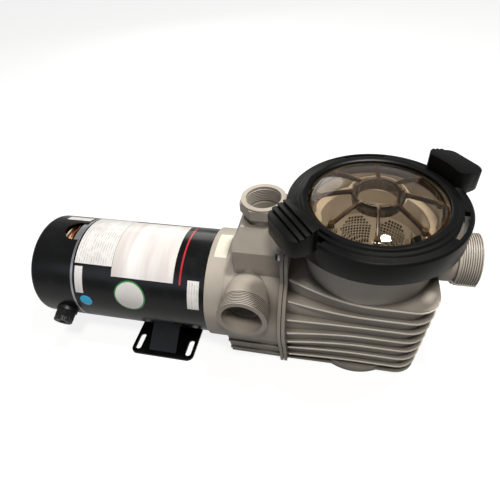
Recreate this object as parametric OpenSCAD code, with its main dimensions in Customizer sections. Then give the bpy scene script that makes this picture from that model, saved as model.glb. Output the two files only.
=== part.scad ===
// Swimming pool circulating pump: strainer pot, volute housing and close coupled electric motor.
// The origin is on the floor under the axis of the strainer pot. +X points out of the suction port,
// the motor lies towards -X, the side discharge port faces -Y and +Z is up.

/* [Layout] */
// Height of the shaft axis above the floor
shaft_h = 83; // [82:0.5:88]
// Distance of the flange joint inside the lock ring's edge
joint_in = 3; // [0:0.5:4]
// Length of the volute housing along the shaft
volute_len = 72.5; // [71:0.5:80]
// Length of the motor bracket along the shaft
bracket_len = 24; // [23:0.5:30]

/* [Motor] */
// Outside diameter of the motor shell
motor_d = 140; // [138:1:144]
// Length of the motor shell
shell_len = 178; // [174:1:200]
// Wall of the motor shell
shell_wall = 2.5; // [2:0.25:3]
// Thickness of the rim of each end bell
bell_rim_t = 3; // [2.5:0.25:4]
// Thickness of the web of each end bell
bell_web_t = 7; // [6:0.5:9]
// Depth of the end bell spigots in the shell
bell_spigot = 12; // [10:1:14]
// Length of the rear cover
cover_len = 61.5; // [58:0.5:70]
// Wall of the rear cover
cover_wall = 1.6; // [1.2:0.2:2.4]
// Rounding of the rear cover's back edge
cover_round = 7; // [4:0.5:10]
// Radius of the vent notches in the rear cover
vent_r = 17; // [14:0.5:19]
// Depth of the vent notches along the shaft
vent_depth = 25.5; // [22:0.5:30]
// Distance from the stator core to the rear of the shell
core_rear = 33; // [31:0.5:38]
// Distance from the front of the shell to the stator core
core_setback = 55; // [52:1:58]
// Radius of the bore of the stator core
stator_bore_r = 35.2; // [34:0.1:37]
// Length of the winding overhang at each end of the core
winding_len = 24; // [20:1:26]
// Gap between the bore of the shell and the winding overhang
winding_gap = 10.5; // [9:0.5:14]
// Radial air gap round the rotor core
air_gap = 0.6; // [0.4:0.1:1]

/* [Foot bracket] */
// Distance from the front of the motor back to the middle of the foot bracket
foot_back = 75; // [70:1:80]
// Length of the foot plate along the shaft
foot_len = 92; // [86:1:100]
// Width of the foot plate
foot_w = 167; // [160:1:176]
// Thickness of the foot sheet
foot_t = 3; // [2.5:0.25:3.5]
// Rounding of the corners of the foot plate
foot_round = 9; // [6:0.5:12]
// Distance between the two rows of slots along the shaft
slot_pitch_x = 75; // [70:1:76]
// Distance between the slots of a row
slot_pitch_y = 128; // [124:1:132]
// Width of a slot
slot_w = 8; // [7:0.5:8.5]
// Length of a slot, end to end
slot_len = 26; // [22:1:28]
// Length of the raised saddle along the shaft
saddle_len = 40; // [34:1:48]
// Half width of the saddle where it leaves the plate
saddle_low_hw = 76; // [72:1:78]
// Half width of the saddle at its shoulders
saddle_high_hw = 45; // [40:1:50]
// Height of the saddle's shoulders
saddle_h = 24; // [22:0.5:26]

/* [Bracket and seal] */
// Outside diameter of the motor bracket
bracket_d = 146; // [145:0.5:150]
// Wall of the motor bracket's ring
bracket_wall = 3.3; // [3:0.1:3.5]
// Thickness of the bracket's web
web_t = 8; // [7:0.5:9]
// Depth of the bracket's spigot in the volute housing
spigot_len = 7.5; // [6.5:0.5:9]
// Width of the drain window in the bottom of the bracket
window_w = 44; // [36:1:52]
// Outside radius of the seal seat
seat_r = 16; // [15:0.25:17]
// Length of the seal seat
seat_len = 8; // [7:0.5:9]
// Length of the seal between its seat and the impeller
seal_len = 12; // [11:0.5:13]
// Radius of the seal spring's wire
spring_wire_r = 0.8; // [0.6:0.05:0.9]
// Turns of the seal spring
spring_turns = 3; // [2:0.5:3]

/* [Volute housing] */
// Outside radius of the round volute body
volute_r = 74; // [73:0.5:78]
// Wall between the pump chamber and the bracket's screws
chamber_wall = 4; // [3.5:0.25:5]
// Thickness of the wall between the chamber and the flange joint
front_wall = 25; // [24:0.5:27]
// Height of the moulded base above the floor
base_z = 4; // [3:0.5:6]
// Half width of the moulded base at its bottom
base_hw = 57; // [54:0.5:60]
// Half width of the moulded base at its top
base_top_hw = 65; // [62:0.5:66]
// Height of the top of the moulded base
base_top_z = 45; // [42:1:50]
// Half width of the joint flange beside the tower
flange_hw = 44; // [43.5:0.5:46]
// Height of the top of the joint flange
flange_top = 182; // [180:1:186]
// Rounding of the joint flange's top corners
flange_round = 26; // [22:1:28]
// Length of the tower under the top port along the shaft
tower_len = 60; // [57:0.5:64]
// Half width of the tower up to its mould line
tower_hw = 40; // [38:0.5:41]
// Height of the mould line where the tower starts to narrow
mould_z = 180; // [176:1:184]
// Half width of the tower's flat top
shoulder_hw = 27; // [26:0.5:30]
// Height of the tower's flat top
shoulder_z = 208; // [204:0.5:209]
// Size of the slope at the tower's rear edge
tower_slope = 9; // [6:0.5:12]
// How far the joint flange stands proud of the body
flange_lip = 5; // [4:0.5:6]
// Thickness of each half of the joint flange
flange_t = 4; // [3:0.25:5]
// Thickness of the flange gasket
gasket_t = 1; // [0.8:0.1:1.5]
// Radius of the passage from the pot to the impeller
passage_r = 24; // [22:0.5:26]

/* [Ports] */
// Outside diameter of the port threads
thread_d = 60.3; // [60:0.1:62]
// Depth of the port threads
thread_depth = 1.1; // [0.8:0.1:1.4]
// Pitch of the port threads
thread_pitch = 2.3; // [2:0.1:2.6]
// Length of the port threads
thread_len = 22; // [20:0.5:24]
// Radius of the pipe sockets in the suction and side ports
socket_r = 24.2; // [23.5:0.05:25]
// Depth of the pipe sockets
socket_len = 22; // [18:0.5:24]
// Radius of the water way behind a socket
way_r = 20.5; // [19:0.5:21.5]
// Distance from the pot axis to the mouth of the suction port
suction_x = 115; // [113:0.5:120]
// Depth of the suction port's axis below the pot's rim
suction_drop = 60.5; // [58:0.5:62]
// How much wider the suction port's smooth neck is than its socket
suction_neck_w = 1.8; // [1.4:0.1:2.6]
// Distance from the flange joint to the side port's axis
side_back = 44; // [42:0.5:46]
// Distance from the shaft's plane to the mouth of the side port
side_reach = 89; // [87:0.5:95]
// Height of the side port above the shaft
side_rise = 37; // [33:0.5:38]
// How much wider the side port's smooth neck is than its socket
side_neck_w = 4.4; // [3:0.1:4.8]
// Gap between the lock ring and the top port
top_gap = 1; // [1:0.5:5]
// Height of the rim of the top port
top_z = 231; // [229:0.5:236]
// Outside radius of the rim of the top port
top_rim_r = 25.5; // [25:0.1:25.7]
// Radius of the top port's bore
top_bore_r = 20; // [19:0.25:20.5]
// Depth of the top port's bore
top_bore_len = 20; // [16:0.5:22]
// Height of the top port's eight sided collar
collar_h = 12; // [10:0.5:14]
// Radius of the neck between the tower and the collar
top_neck_r = 23; // [22:0.25:24.5]
// Radius of the riser between the side port and the tower, at its top
riser_r = 13; // [11:0.5:15]
// Radius of the riser at its bottom
riser_low_r = 28; // [26:0.5:28.5]
// Height of the riser's waist above the side port
riser_h = 38; // [34:1:44]

/* [Strainer pot] */
// Half width of the hull at its top fin
hull_top_hw = 74; // [72:0.5:76]
// Half width of the hull at its lowest fin
hull_low_hw = 56; // [55:0.5:60]
// Distance from the pot axis to the end of the hull
hull_end = 77; // [75:0.5:80]
// Rounding of the hull's end corners
hull_corner = 27; // [22:1:32]
// Height of the top fin
fin_top_z = 150; // [148:1:152]
// Distance between fins
fin_pitch = 22; // [21:0.25:22.5]
// Number of fins
fin_count = 7; // [6:1:7]
// Thickness of a fin
fin_t = 2.8; // [2:0.2:3.4]
// How far the fins stand out of the hull
fin_depth = 5.5; // [4:0.5:6]
// Wall of the pot
pot_wall = 5; // [4:0.25:5.5]
// Radius of the round foot under the pot
pot_foot_r = 61; // [58:0.5:64]
// Thickness of the pot's floor, from the ground up
pot_floor = 11; // [9:0.5:12]
// Outside radius of the pot's neck
neck_r = 73; // [72:0.5:74]
// Wall of the neck below the basket's ledge
neck_wall = 8; // [7:0.5:9]
// Depth of the ledge that carries the basket below the pot's rim
ledge_depth = 20; // [18:0.5:23]
// Width of the ledge
ledge_w = 3; // [2.5:0.25:3.5]
// How far the pot's rim stands out of its neck
rim_w = 10; // [9:0.5:11]
// Height of the top of the rim
rim_z = 226; // [225:0.5:230]
// Thickness of the rim
rim_t = 8; // [7:0.5:9]

/* [Strainer basket] */
// Gap between the pot's neck and the basket at its top
basket_gap = 5; // [4:0.5:8]
// Gap between the basket's bottom and the wall of the pot
basket_low_gap = 3.5; // [3:0.25:6]
// Wall of the basket
basket_wall = 2; // [1.6:0.2:2.6]
// Thickness of the basket's rim
basket_rim_t = 3; // [2:0.25:4]
// Gap between the basket and the pot's floor
basket_lift = 3; // [2:0.5:5]
// Height of a hole in the basket
basket_hole = 4.5; // [3:0.25:6]
// Rows of holes in a panel
basket_rows = 4; // [3:1:5]
// Holes in a row of a panel
basket_cols = 4; // [3:1:4]
// Number of panels of holes
basket_panels = 8; // [6:1:8]
// Distance between rows of holes
basket_row_pitch = 14; // [12:0.5:15]

/* [Lid] */
// Distance of the lid's flange inside the pot's rim
lens_inset = 1; // [0.5:0.25:2]
// Thickness of the lid's flange
lens_flange_t = 5; // [4:0.25:6]
// Width of the lid's flange outside the clear dome
lens_ledge = 10.3; // [9.5:0.1:11]
// Thickness of the clear dome
lens_t = 4; // [3:0.25:5]
// Height of the dome's base above its flange
lens_step = 7; // [6:0.25:8]
// Rise of the dome
lens_rise = 15; // [13:0.5:18]
// Outside radius of the hub ring under the dome
hub_r = 25.5; // [23:0.5:28]
// Thickness of the ribs and of the hub ring
lens_rib_t = 2.5; // [2:0.25:3.5]
// Depth of the ribs below the dome
lens_rib_depth = 4; // [3:0.5:6]
// Number of ribs under the dome
lens_rib_count = 8; // [6:1:8]
// Radius of the O-ring's section
oring_r = 2.2; // [2:0.1:2.4]

/* [Lock ring] */
// Gap between the pot's rim and the ring's skirt
skirt_gap = 7.5; // [7:0.1:8]
// Wall of the ring's skirt
skirt_wall = 4.5; // [4:0.25:5]
// Height of the ring's skirt below its lip
skirt_h = 20.5; // [19.5:0.25:21.5]
// Thickness of the ring at its outer edge
ring_top_t = 6; // [5:0.25:7]
// Height of the ring's inner lip above its outer edge
ring_lip_h = 4.5; // [3:0.25:6]
// Angle of the first handle
handle_a = 37; // [32:1:42]
// Half width of a handle
handle_hw = 28.5; // [26:0.5:32]
// How far a handle stands out of the ring
handle_out = 24; // [21:0.5:27]
// Height of a handle's outer step above the ring's outer edge
handle_rise = 12.5; // [10:0.5:14]
// Depth of a handle below the ring's outer edge
handle_drop = 8; // [7:0.5:9]
// Rounding of the handle's corners
handle_round = 14; // [11:0.5:16]
// Number of lugs on the ring
lug_count = 3; // [2:1:3]
// Angle of the first lug
lug_a = -20; // [-24:1:-16]
// Half the angle that a ring lug takes up
lug_half_a = 4; // [3:0.5:5]
// Length of a ring lug towards the axis
lug_len = 4.5; // [4:0.25:5]
// Thickness of a ring lug
lug_t = 4; // [3:0.25:5]
// Angle that the ring turns from locked to free
turn_a = 40; // [36:1:44]
// Rise of the ring over that turn
turn_rise = 2; // [1:0.25:2.5]

/* [Rotating parts] */
// Radius of the shaft at the bearings
shaft_r = 8.5; // [8:0.25:9]
// Radius of the shaft at the pump end
shaft_nose_r = 7.9; // [7.5:0.1:7.9]
// Gap between the impeller and the wall of the pump chamber
impeller_gap = 11; // [10:0.5:13]
// Thickness of each impeller shroud
shroud_t = 2.5; // [2:0.25:3]
// Width of the impeller's vanes
vane_w = 11; // [9:0.5:11.5]
// Number of impeller vanes
vane_count = 6; // [5:1:7]
// Outside radius of the impeller's eye
eye_r = 25; // [24:0.25:26]
// Outside radius of a bearing
bearing_r = 20; // [19:0.5:21]
// Width of a bearing
bearing_w = 12; // [11:0.5:12]
// Number of balls in a bearing
ball_count = 8; // [7:1:8]
// Outside radius of the cooling fan
fan_r = 50; // [46:0.5:52]
// Number of fan blades
fan_blades = 10; // [8:1:12]
// Gap between the governor and the capacitor's strap
governor_gap = 0.5; // [0.4:0.1:2]

/* [Fittings] */
// Distance of the cord gland from the front of the rear cover
gland_back = 22; // [18:0.5:26]
// Angle of the cord gland round the shaft, from the top towards the side port
gland_a = 107; // [102:1:114]
// Radius of the cord gland's thread
gland_r = 10.5; // [9:0.25:11]
// Radius of the cord hole
cord_r = 4.5; // [3.5:0.25:5]
// Radius of the capacitor
capacitor_r = 16; // [14:0.5:16.5]
// Length of the capacitor
capacitor_len = 60; // [54:1:62]
// Radius of the drain plugs' thread
drain_r = 6; // [5:0.25:6.5]

/* [Fits] */
// Gap between parts that turn or slide past each other
run_gap = 0.3; // [0.25:0.05:0.4]
// Gap round a part that is seated in a pocket
seat_gap = 0.05; // [0.03:0.01:0.08]

/* [Hidden] */
$fn = 72;

// Colours
beige = "#b3a99b";
black = "#1b1b1d";
steel = "#9a9ca0";
cast = "#b9bbbe";
copper = "#b06a3a";
rubber = "#232323";
tan = "#b59a72";

// How far a cut runs past a face
over = 1;

// Radii of the pot's mouth, the basket, the lid and the ring, from the neck outwards
neck_in = neck_r - neck_wall;
ledge_in = neck_in + ledge_w;
ledge_z = rim_z - ledge_depth;
basket_top_r = neck_in - basket_gap;
basket_low_r = hull_low_hw - fin_depth - pot_wall - basket_low_gap;
rim_r = neck_r + rim_w;
lens_flange_r = rim_r - lens_inset;
lens_r = lens_flange_r - lens_ledge;
skirt_in = rim_r + skirt_gap;
ring_r = skirt_in + skirt_wall;
handle_reach = ring_r + handle_out;

// Places along the shaft, from the flange joint back to the rear cover
x_joint = joint_in - ring_r;
x_vol_f = x_joint - gasket_t;
x_vol_r = x_vol_f - volute_len;
x_motor = x_vol_r - bracket_len;
x_shell_f = x_motor - bell_rim_t;
x_shell_r = x_shell_f - shell_len;
x_cover = x_shell_r - bell_rim_t;
x_end = x_cover - cover_len;
x_wall = x_vol_f - front_wall;
x_web = x_vol_r - web_t;
core_len = shell_len - core_setback - core_rear;
x_core_f = x_shell_f - core_setback;
x_core_r = x_core_f - core_len;

// Motor radii
motor_r = motor_d / 2;
shell_in = motor_r - shell_wall;
bell_wall = 4;
bell_in = shell_in - bell_wall;
winding_r = shell_in - winding_gap;
bolt_r = 2.5;
bolt_head_r = 4;
bolt_head_h = 3;
bolt_inset = 2;
bolt_pcr = bell_in - bolt_inset;
bolt_count = 4;

// Windings
slot_room = 5;
winding_round = 7;

// Bearing seats
hub_wall = 6;
front_face_t = 4.5;
rear_face_t = 4;
front_seat_x = x_motor - front_face_t;
rear_seat_x = x_cover + rear_face_t;
ball_r = 2.55;
race_gap = 0.15;
race_shift = 0.65;
ball_pcr = (shaft_r + bearing_r) / 2 + race_shift;
shaft_room = 2;
bell_vent_count = 6;
bell_vent_pcr = 43;
bell_vent_r = 9;
bell_vent_a = 30;
cover_screw_pcr = bolt_pcr - bolt_head_r - bolt_r;
cover_spigot = 8;
cover_spigot_t = 2;

// Bracket radii
bracket_r = bracket_d / 2;
bracket_in = bracket_r - bracket_wall;
rear_rim_t = 5;
rear_rim_in = 48;
seal_boss_wall = 8;
gasket_inset = 2;
seal_boss_r = seat_r + seal_boss_wall;
head_gap = 0.2;
screw_pcr = bracket_in - bolt_head_r - head_gap;
chamber_r = screw_pcr - bolt_r - chamber_wall;
impeller_r = chamber_r - impeller_gap;
screw_count = 6;
screw_a = 30;
screw_bite = 15;
motor_bolt_a = 45;
motor_bolt_r = 3;
motor_bolt_head_r = 5;
motor_bolt_head_h = 4.5;
motor_bolt_pcr = 56;
spigot_wall = 7;
groove_t = 3.2;
groove_back = 2;
ring_squeeze = 0.1;
wire_r = groove_t / 2 - ring_squeeze;

// Seal and impeller places
seat_back = 2.5;
x_seat = x_vol_r - seat_back;
x_seal = x_seat + seat_len;
x_imp = x_seal + seal_len;
x_imp_f = x_imp + 2 * shroud_t + vane_w;
seal_face_t = 3.5;
eye_wall = 3;
disc_t = 6;
wear_len = 4;
x_disc = x_wall - disc_t;
eye_gap = 1.5;
x_eye = x_disc + wear_len - eye_gap;
impeller_hub_r = 15;
hub_bore_len = 12;
hub_cap_t = 2;
vane_bend = 32;
vane_off = 8;
vane_t = 2;
vane_tip = 0.5;
vane_root = 2;
seal_face_in = 1;
seal_sleeve_t = 2.6;
diffuser_lip = 2;
diffuser_r = impeller_r + diffuser_lip;
diffuser_groove = 6;
guide_count = 8;
guide_len = 16;
guide_back = 14;
guide_off = 4;
guide_t = 2;
guide_h = 7;
guide_sink = 0.8;
guide_lean = 28;
throat_gap = 2;
throat_z = shaft_h + diffuser_r + throat_gap;
diffuser_spigot_r = 34.8;
diffuser_spigot_len = 16;

// Lid stack, from the pot's rim up
lid_gap = 0.2;
lens_z = rim_z + lid_gap;
lens_flange_z = lens_z + lens_flange_t;
dome_z = lens_flange_z + lens_step;
dome_r = (lens_r * lens_r + lens_rise * lens_rise) / (2 * lens_rise);
dome_c = dome_z + lens_rise - dome_r;
lip_z = lens_flange_z + run_gap;
ring_clear = 0.7;
ring_in = lens_r + ring_clear;
ring_edge_z = lip_z + ring_top_t;
ring_lip_z = ring_edge_z + ring_lip_h;
skirt_z = lip_z - skirt_h;
lug_z = skirt_z + 1;
lug_top = lug_z + lug_t;
lug_in = skirt_in - lug_len;
ring_tread = 13.5;
ring_lip_round = [3, 1.5];
ring_crown = 7;
ring_step = [8.5, 2.5];
ring_step_out = 12;
ring_edge_round = 2;
ring_window_a = 15;
ring_window_back = 12.3;
ring_window_in = ring_in + ring_window_back;
handle_clear = 1;
handle_in = ring_in + ring_tread + handle_clear;
handle_root = 4;
handle_ridges = 3;
ridge_h = 2;
ridge_out = 10;
ridge_pitch = 6.5;
groove = [1.3, 1.2];
ramp_gap = 0.5;
ramp_clear = 1.5;
ramp_root = 2;
ramp_r = skirt_in - ramp_clear;
ramp_from = -6;
ramp_step = 3.25;
ramp_steps = 8;
oring_inset = 5.5;
oring_pcr = rim_r - oring_inset;
oring_groove = 0.15;

// Ports
x_side = x_joint - side_back;
z_side = shaft_h + side_rise;
x_top = -ring_r - top_gap - top_rim_r;
thread_r = thread_d / 2;
suction_z = rim_z - suction_drop;
suction_neck_r = socket_r + suction_neck_w;
side_neck_r = socket_r + side_neck_w;
top_rim_h = 2;
top_step = 3;
collar_z = top_z - top_rim_h - collar_h;
flats = 8;

// Base, fins and hull
fins = [for (i = [0 : fin_count - 1]) fin_top_z - i * fin_pitch];
fin_low_z = fin_top_z - (fin_count - 1) * fin_pitch;
levels = concat([fin_top_z], [for (i = [1 : fin_count - 1]) fins[i]], [base_z]);
hull_full_x = 10;
side_steps = 8;
corner_steps = 6;
shelf_t = 4;
rear_wall = 7;

// Drain plugs
drain_boss_r = 11;
drain_boss_h = 8;
drain_head_r = 9;
drain_head_h = 6;
drain_plug_len = 14;
drain_flange_t = 1.5;
drain_ring_r = 1.1;
drain_ring_pcr = drain_r + 1.6;
drain_z = 29;
volute_drain_z = 28;
volute_drain_y = 66;

// Half width of the round body, the base and the tower at a height
function round_hw(z) = abs(z - shaft_h) < volute_r ? sqrt(volute_r * volute_r - pow(z - shaft_h, 2)) : 0;
function base_half(z) = z > base_top_z ? 0
    : base_hw + (base_top_hw - base_hw) * (z - base_z) / (base_top_z - base_z);
function tower_half(z) = z > shaft_h ? flange_hw : 0;
function body_half(z) = max(round_hw(z), base_half(z), tower_half(z));

// Half width of the hull beside the pot at a height
function hull_half(z) = hull_low_hw
    + (hull_top_hw - hull_low_hw) * max(0, z - fin_low_z) / (fin_top_z - fin_low_z);

// One side of the hull's outline, from the flange round the end corner
function hull_side(z, inset, x0) = let (
    p = body_half(z) - inset,
    w = hull_half(z) - inset,
    r = hull_corner)
    concat(
        [for (i = [0 : side_steps]) let (t = i / side_steps)
            [x0 + (hull_full_x - x0) * t, p + (w - p) * sin(90 * t)]],
        [for (i = [0 : corner_steps]) let (a = 90 - 90 * i / corner_steps)
            [hull_end - inset - r + r * cos(a), w - r + r * sin(a)]]);
function mirrored(side) = [for (i = [len(side) - 1 : -1 : 0]) [side[i][0], -side[i][1]]];

// Shapes along the shaft
module axial(x0, x1, r) {
    translate([x0, 0, shaft_h]) rotate([0, 90, 0]) cylinder(h = x1 - x0, r = r);
}
module axial_tube(x0, x1, r, r_in) {
    difference() {
        axial(x0, x1, r);
        axial(x0 - over, x1 + over, r_in);
    }
}
module yz_prism(x0, x1) {
    translate([x0, 0, 0]) rotate([90, 0, 90]) linear_extrude(height = x1 - x0) children();
}
// Copies on a circle round the shaft, with the first at angle a0 from the top
module round_shaft(count, pcr, a0 = 0) {
    for (i = [0 : count - 1])
        translate([0, 0, shaft_h]) rotate([a0 + 360 * i / count, 0, 0]) translate([0, 0, pcr]) children();
}
module x_rod(x0, x1, r) {
    translate([x0, 0, 0]) rotate([0, 90, 0]) cylinder(h = x1 - x0, r = r);
}
module x_hex(x0, x1, r) {
    translate([x0, 0, 0]) rotate([0, 90, 0]) cylinder(h = x1 - x0, r = r, $fn = 6);
}
module x_ring(x, pcr, r) {
    translate([x, 0, shaft_h]) rotate([0, 90, 0]) rotate_extrude() translate([pcr, 0])
        circle(r, $fn = 32);
}
// A sector of a ring between two angles
module sector(r_in, r_out, a0, a1) {
    far = 2 * r_out;
    mid = (a0 + a1) / 2;
    intersection() {
        difference() {
            circle(r_out);
            circle(r_in);
        }
        polygon([[0, 0], far * [cos(a0), sin(a0)], far * [cos(mid), sin(mid)], far * [cos(a1), sin(a1)]]);
    }
}
module rounded_rect(x0, x1, y0, y1, r) {
    translate([x0 + r, y0]) square([x1 - x0 - 2 * r, y1 - y0]);
    translate([x0, y0 + r]) square([x1 - x0, y1 - y0 - 2 * r]);
    for (x = [x0 + r, x1 - r], y = [y0 + r, y1 - r])
        translate([x, y]) circle(r);
}

// Outline of the pump body across the shaft
module body_2d(grow = 0) {
    r = flange_round - 2 * grow;
    hw = flange_hw + grow;
    top = flange_top + grow;
    translate([0, shaft_h]) circle(volute_r + grow);
    polygon([[-base_hw - grow, base_z], [base_hw + grow, base_z], [base_top_hw + grow, base_top_z],
        [base_top_hw + grow, shaft_h], [-base_top_hw - grow, shaft_h], [-base_top_hw - grow, base_top_z]]);
    translate([-hw, shaft_h]) square([2 * hw, top - r - shaft_h]);
    translate([r - hw, shaft_h]) square([2 * (hw - r), top - shaft_h]);
    for (y = [r - hw, hw - r])
        translate([y, top - r]) circle(r);
}
// Outline of the rear of the body, which has no tower
module low_body_2d() {
    translate([0, shaft_h]) circle(volute_r);
    polygon([[-base_hw, base_z], [base_hw, base_z], [base_top_hw, base_top_z], [base_top_hw, shaft_h],
        [-base_top_hw, shaft_h], [-base_top_hw, base_top_z]]);
}
module hull_2d(z, inset, x0) {
    side = hull_side(z, inset, x0);
    polygon(concat(side, mirrored(side)));
}
// A threaded spout along +Z that ends at z = 0
module thread_stack() {
    ridges = floor(thread_len / thread_pitch);
    translate([0, 0, -thread_len - over]) cylinder(h = thread_len + over, r = thread_r - thread_depth);
    for (i = [0 : ridges - 1])
        translate([0, 0, -thread_pitch * (i + 0.6)]) cylinder(h = thread_pitch * 0.55, r = thread_r);
}
module socket_bore(reach) {
    translate([0, 0, -socket_len]) cylinder(h = socket_len + over, r = socket_r);
    translate([0, 0, -reach]) cylinder(h = reach, r = way_r);
}
module at_suction() {
    translate([suction_x, 0, suction_z]) rotate([0, 90, 0]) children();
}
module at_side() {
    translate([x_side, -side_reach, z_side]) rotate([90, 0, 0]) children();
}
module at_pot_drain() {
    translate([hull_end - fin_depth + drain_boss_h, 0, drain_z]) rotate([0, 90, 0]) children();
}
module at_volute_drain() {
    translate([x_side, volute_drain_y + drain_boss_h, volute_drain_z]) rotate([-90, 0, 0]) children();
}

// Screw places in the joint flange, two high and two in the base, as distances in from its edges
high_screw_in = [4.5, 4];
low_screw_in = [8, 11];
high_screws = [for (s = [-1, 1]) [s * (flange_hw - high_screw_in[0]), flange_top - high_screw_in[1]]];
low_screws = [for (s = [-1, 1]) [s * (base_hw - low_screw_in[0]), base_z + low_screw_in[1]]];
module at_flange_screws(points) {
    for (p = points)
        translate([0, p[0], p[1]]) children();
}

module pot_shell() {
    yz_prism(x_joint, x_joint + flange_t) body_2d(flange_lip);
    for (i = [0 : fin_count - 1])
        translate([0, 0, levels[i + 1]]) linear_extrude(height = levels[i] - levels[i + 1])
            hull_2d((levels[i] + levels[i + 1]) / 2, fin_depth, x_joint);
    for (z = concat(fins, [base_z + fin_t / 2]))
        translate([0, 0, z - fin_t / 2]) linear_extrude(height = fin_t) hull_2d(z, 0, x_joint);
    translate([0, 0, fin_top_z]) linear_extrude(height = shelf_t) hull_2d(fin_top_z, 0, x_joint);
    cylinder(h = pot_floor, r = pot_foot_r);
    translate([0, 0, fin_top_z]) cylinder(h = rim_z - fin_top_z, r = neck_r);
    translate([0, 0, rim_z - rim_t]) cylinder(h = rim_t, r = rim_r);
    at_suction() {
        thread_stack();
        translate([0, 0, -suction_x + neck_in])
            cylinder(h = suction_x - neck_in - thread_len, r = suction_neck_r);
    }
    at_pot_drain() translate([0, 0, -drain_boss_h - pot_wall])
        cylinder(h = drain_boss_h + pot_wall, r = drain_boss_r);
}
module pot_hollow() {
    inset = fin_depth + pot_wall;
    x0 = x_joint + rear_wall;
    for (i = [0 : fin_count - 1]) {
        low = max(levels[i + 1], pot_floor);
        translate([0, 0, low]) linear_extrude(height = levels[i] - low + (i == 0 ? 0 : over / 2))
            hull_2d((levels[i] + levels[i + 1]) / 2, inset, x0);
    }
    translate([0, 0, fin_top_z - over]) cylinder(h = ledge_z - fin_top_z + over, r = neck_in);
    translate([0, 0, ledge_z]) cylinder(h = rim_z - ledge_z + over, r = ledge_in);
}
// Stepped ramps under the rim that the ring's lugs climb
module pot_ramps() {
    for (k = [0 : lug_count - 1], s = [0 : ramp_steps - 1]) {
        from = ramp_from + s * ramp_step;
        under = lug_top + ramp_gap + turn_rise * from / turn_a;
        a = lug_a + k * 360 / lug_count + from;
        translate([0, 0, under]) linear_extrude(height = rim_z - ramp_root - under)
            sector(rim_r - ramp_root, ramp_r, a, a + ramp_step);
    }
}
module strainer_pot() {
    color(beige) difference() {
        union() {
            pot_shell();
            pot_ramps();
        }
        pot_hollow();
        at_suction() socket_bore(suction_x - neck_in + 2 * over);
        axial(x_joint - over, x_joint + rear_wall + over, passage_r);
        translate([0, 0, rim_z]) rotate_extrude()
            translate([oring_pcr - oring_r - oring_groove, -2 * oring_r - oring_groove])
            square([2 * (oring_r + oring_groove), 2 * oring_r + oring_groove + over]);
        at_flange_screws(high_screws) x_rod(x_joint - over, x_joint + flange_t + over, bolt_r + seat_gap);
        at_flange_screws(low_screws) x_rod(x_joint - over, x_joint + rear_wall + over, bolt_r + seat_gap);
        at_pot_drain() drain_hole(drain_boss_h + 3 * pot_wall);
    }
}

// Tower under the top port: upright up to its mould line, then narrower to a flat top
module tower() {
    x0 = x_vol_f - tower_len;
    slope_z = shoulder_z - 2 * tower_slope;
    intersection() {
        yz_prism(x0, x_vol_f) polygon([[-tower_hw, shaft_h], [tower_hw, shaft_h], [tower_hw, mould_z],
            [shoulder_hw, shoulder_z], [-shoulder_hw, shoulder_z], [-tower_hw, mould_z]]);
        translate([0, volute_r, 0]) rotate([90, 0, 0]) linear_extrude(height = 2 * volute_r)
            polygon([[x0, 0], [x0, slope_z], [x0 + tower_slope, shoulder_z], [x_vol_f, shoulder_z],
                [x_vol_f, 0]]);
    }
}
// Riser that narrows from the side port up into the tower
module riser() {
    flare = 2 * (riser_low_r - riser_r);
    translate([x_side, riser_r - tower_hw, z_side]) rotate_extrude() difference() {
        square([riser_low_r, mould_z - z_side]);
        translate([riser_r + flare, riser_h]) circle(flare);
        translate([riser_r, riser_h]) square([riser_low_r, mould_z]);
    }
}
module volute_shell() {
    yz_prism(x_vol_r, x_vol_f) low_body_2d();
    tower();
    riser();
    yz_prism(x_vol_f - flange_t, x_vol_f) body_2d(flange_lip);
    for (z = [fin_low_z, fin_low_z + fin_pitch])
        translate([x_vol_r, -base_half(z) - flange_lip / 2, z - fin_t / 2])
            cube([volute_len, 2 * base_half(z) + flange_lip, fin_t]);
    translate([x_top, 0, shoulder_z - over]) cylinder(h = collar_z - shoulder_z + 2 * over, r = top_neck_r);
    translate([x_top, 0, collar_z]) rotate(180 / flats)
        cylinder(h = collar_h, r = top_rim_r / cos(180 / flats), $fn = flats);
    translate([x_top, 0, collar_z]) cylinder(h = top_z - collar_z, r = top_rim_r);
    at_side() {
        thread_stack();
        translate([0, 0, -side_reach]) cylinder(h = side_reach - thread_len, r = side_neck_r);
    }
    at_volute_drain() translate([0, 0, -drain_boss_h - 2 * pot_wall])
        cylinder(h = drain_boss_h + 2 * pot_wall, r = drain_boss_r);
}
module volute_housing() {
    color(beige) difference() {
        volute_shell();
        axial(x_vol_r - bracket_len, x_vol_r - seat_gap, bracket_r + run_gap);
        translate([0, 0, skirt_z - over]) cylinder(h = top_z, r = ring_r + over / 2);
        axial(x_vol_r - over, x_wall, chamber_r);
        axial(x_wall - over, x_wall + diffuser_spigot_len, diffuser_spigot_r + seat_gap);
        axial(x_wall - over, x_vol_f + over, passage_r);
        at_side() socket_bore(side_reach);
        translate([x_top, 0, top_z - top_bore_len]) cylinder(h = top_bore_len + over, r = top_bore_r);
        translate([x_top, 0, throat_z]) cylinder(h = top_z - throat_z, r = top_bore_r - top_step);
        round_shaft(screw_count, screw_pcr, screw_a)
            x_rod(x_vol_r - over, x_vol_r + screw_bite + over, bolt_r + seat_gap);
        at_flange_screws(high_screws) x_rod(x_vol_f - flange_t - over, x_vol_f + over, bolt_r + seat_gap);
        at_flange_screws(high_screws)
            x_rod(x_vol_f - flange_t - 2 * bolt_head_h, x_vol_f - flange_t, bolt_head_r + run_gap);
        at_flange_screws(low_screws) x_rod(x_vol_r - over, x_vol_f + over, bolt_r + seat_gap);
        at_volute_drain() drain_hole(volute_drain_y + drain_boss_h);
    }
}
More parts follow.
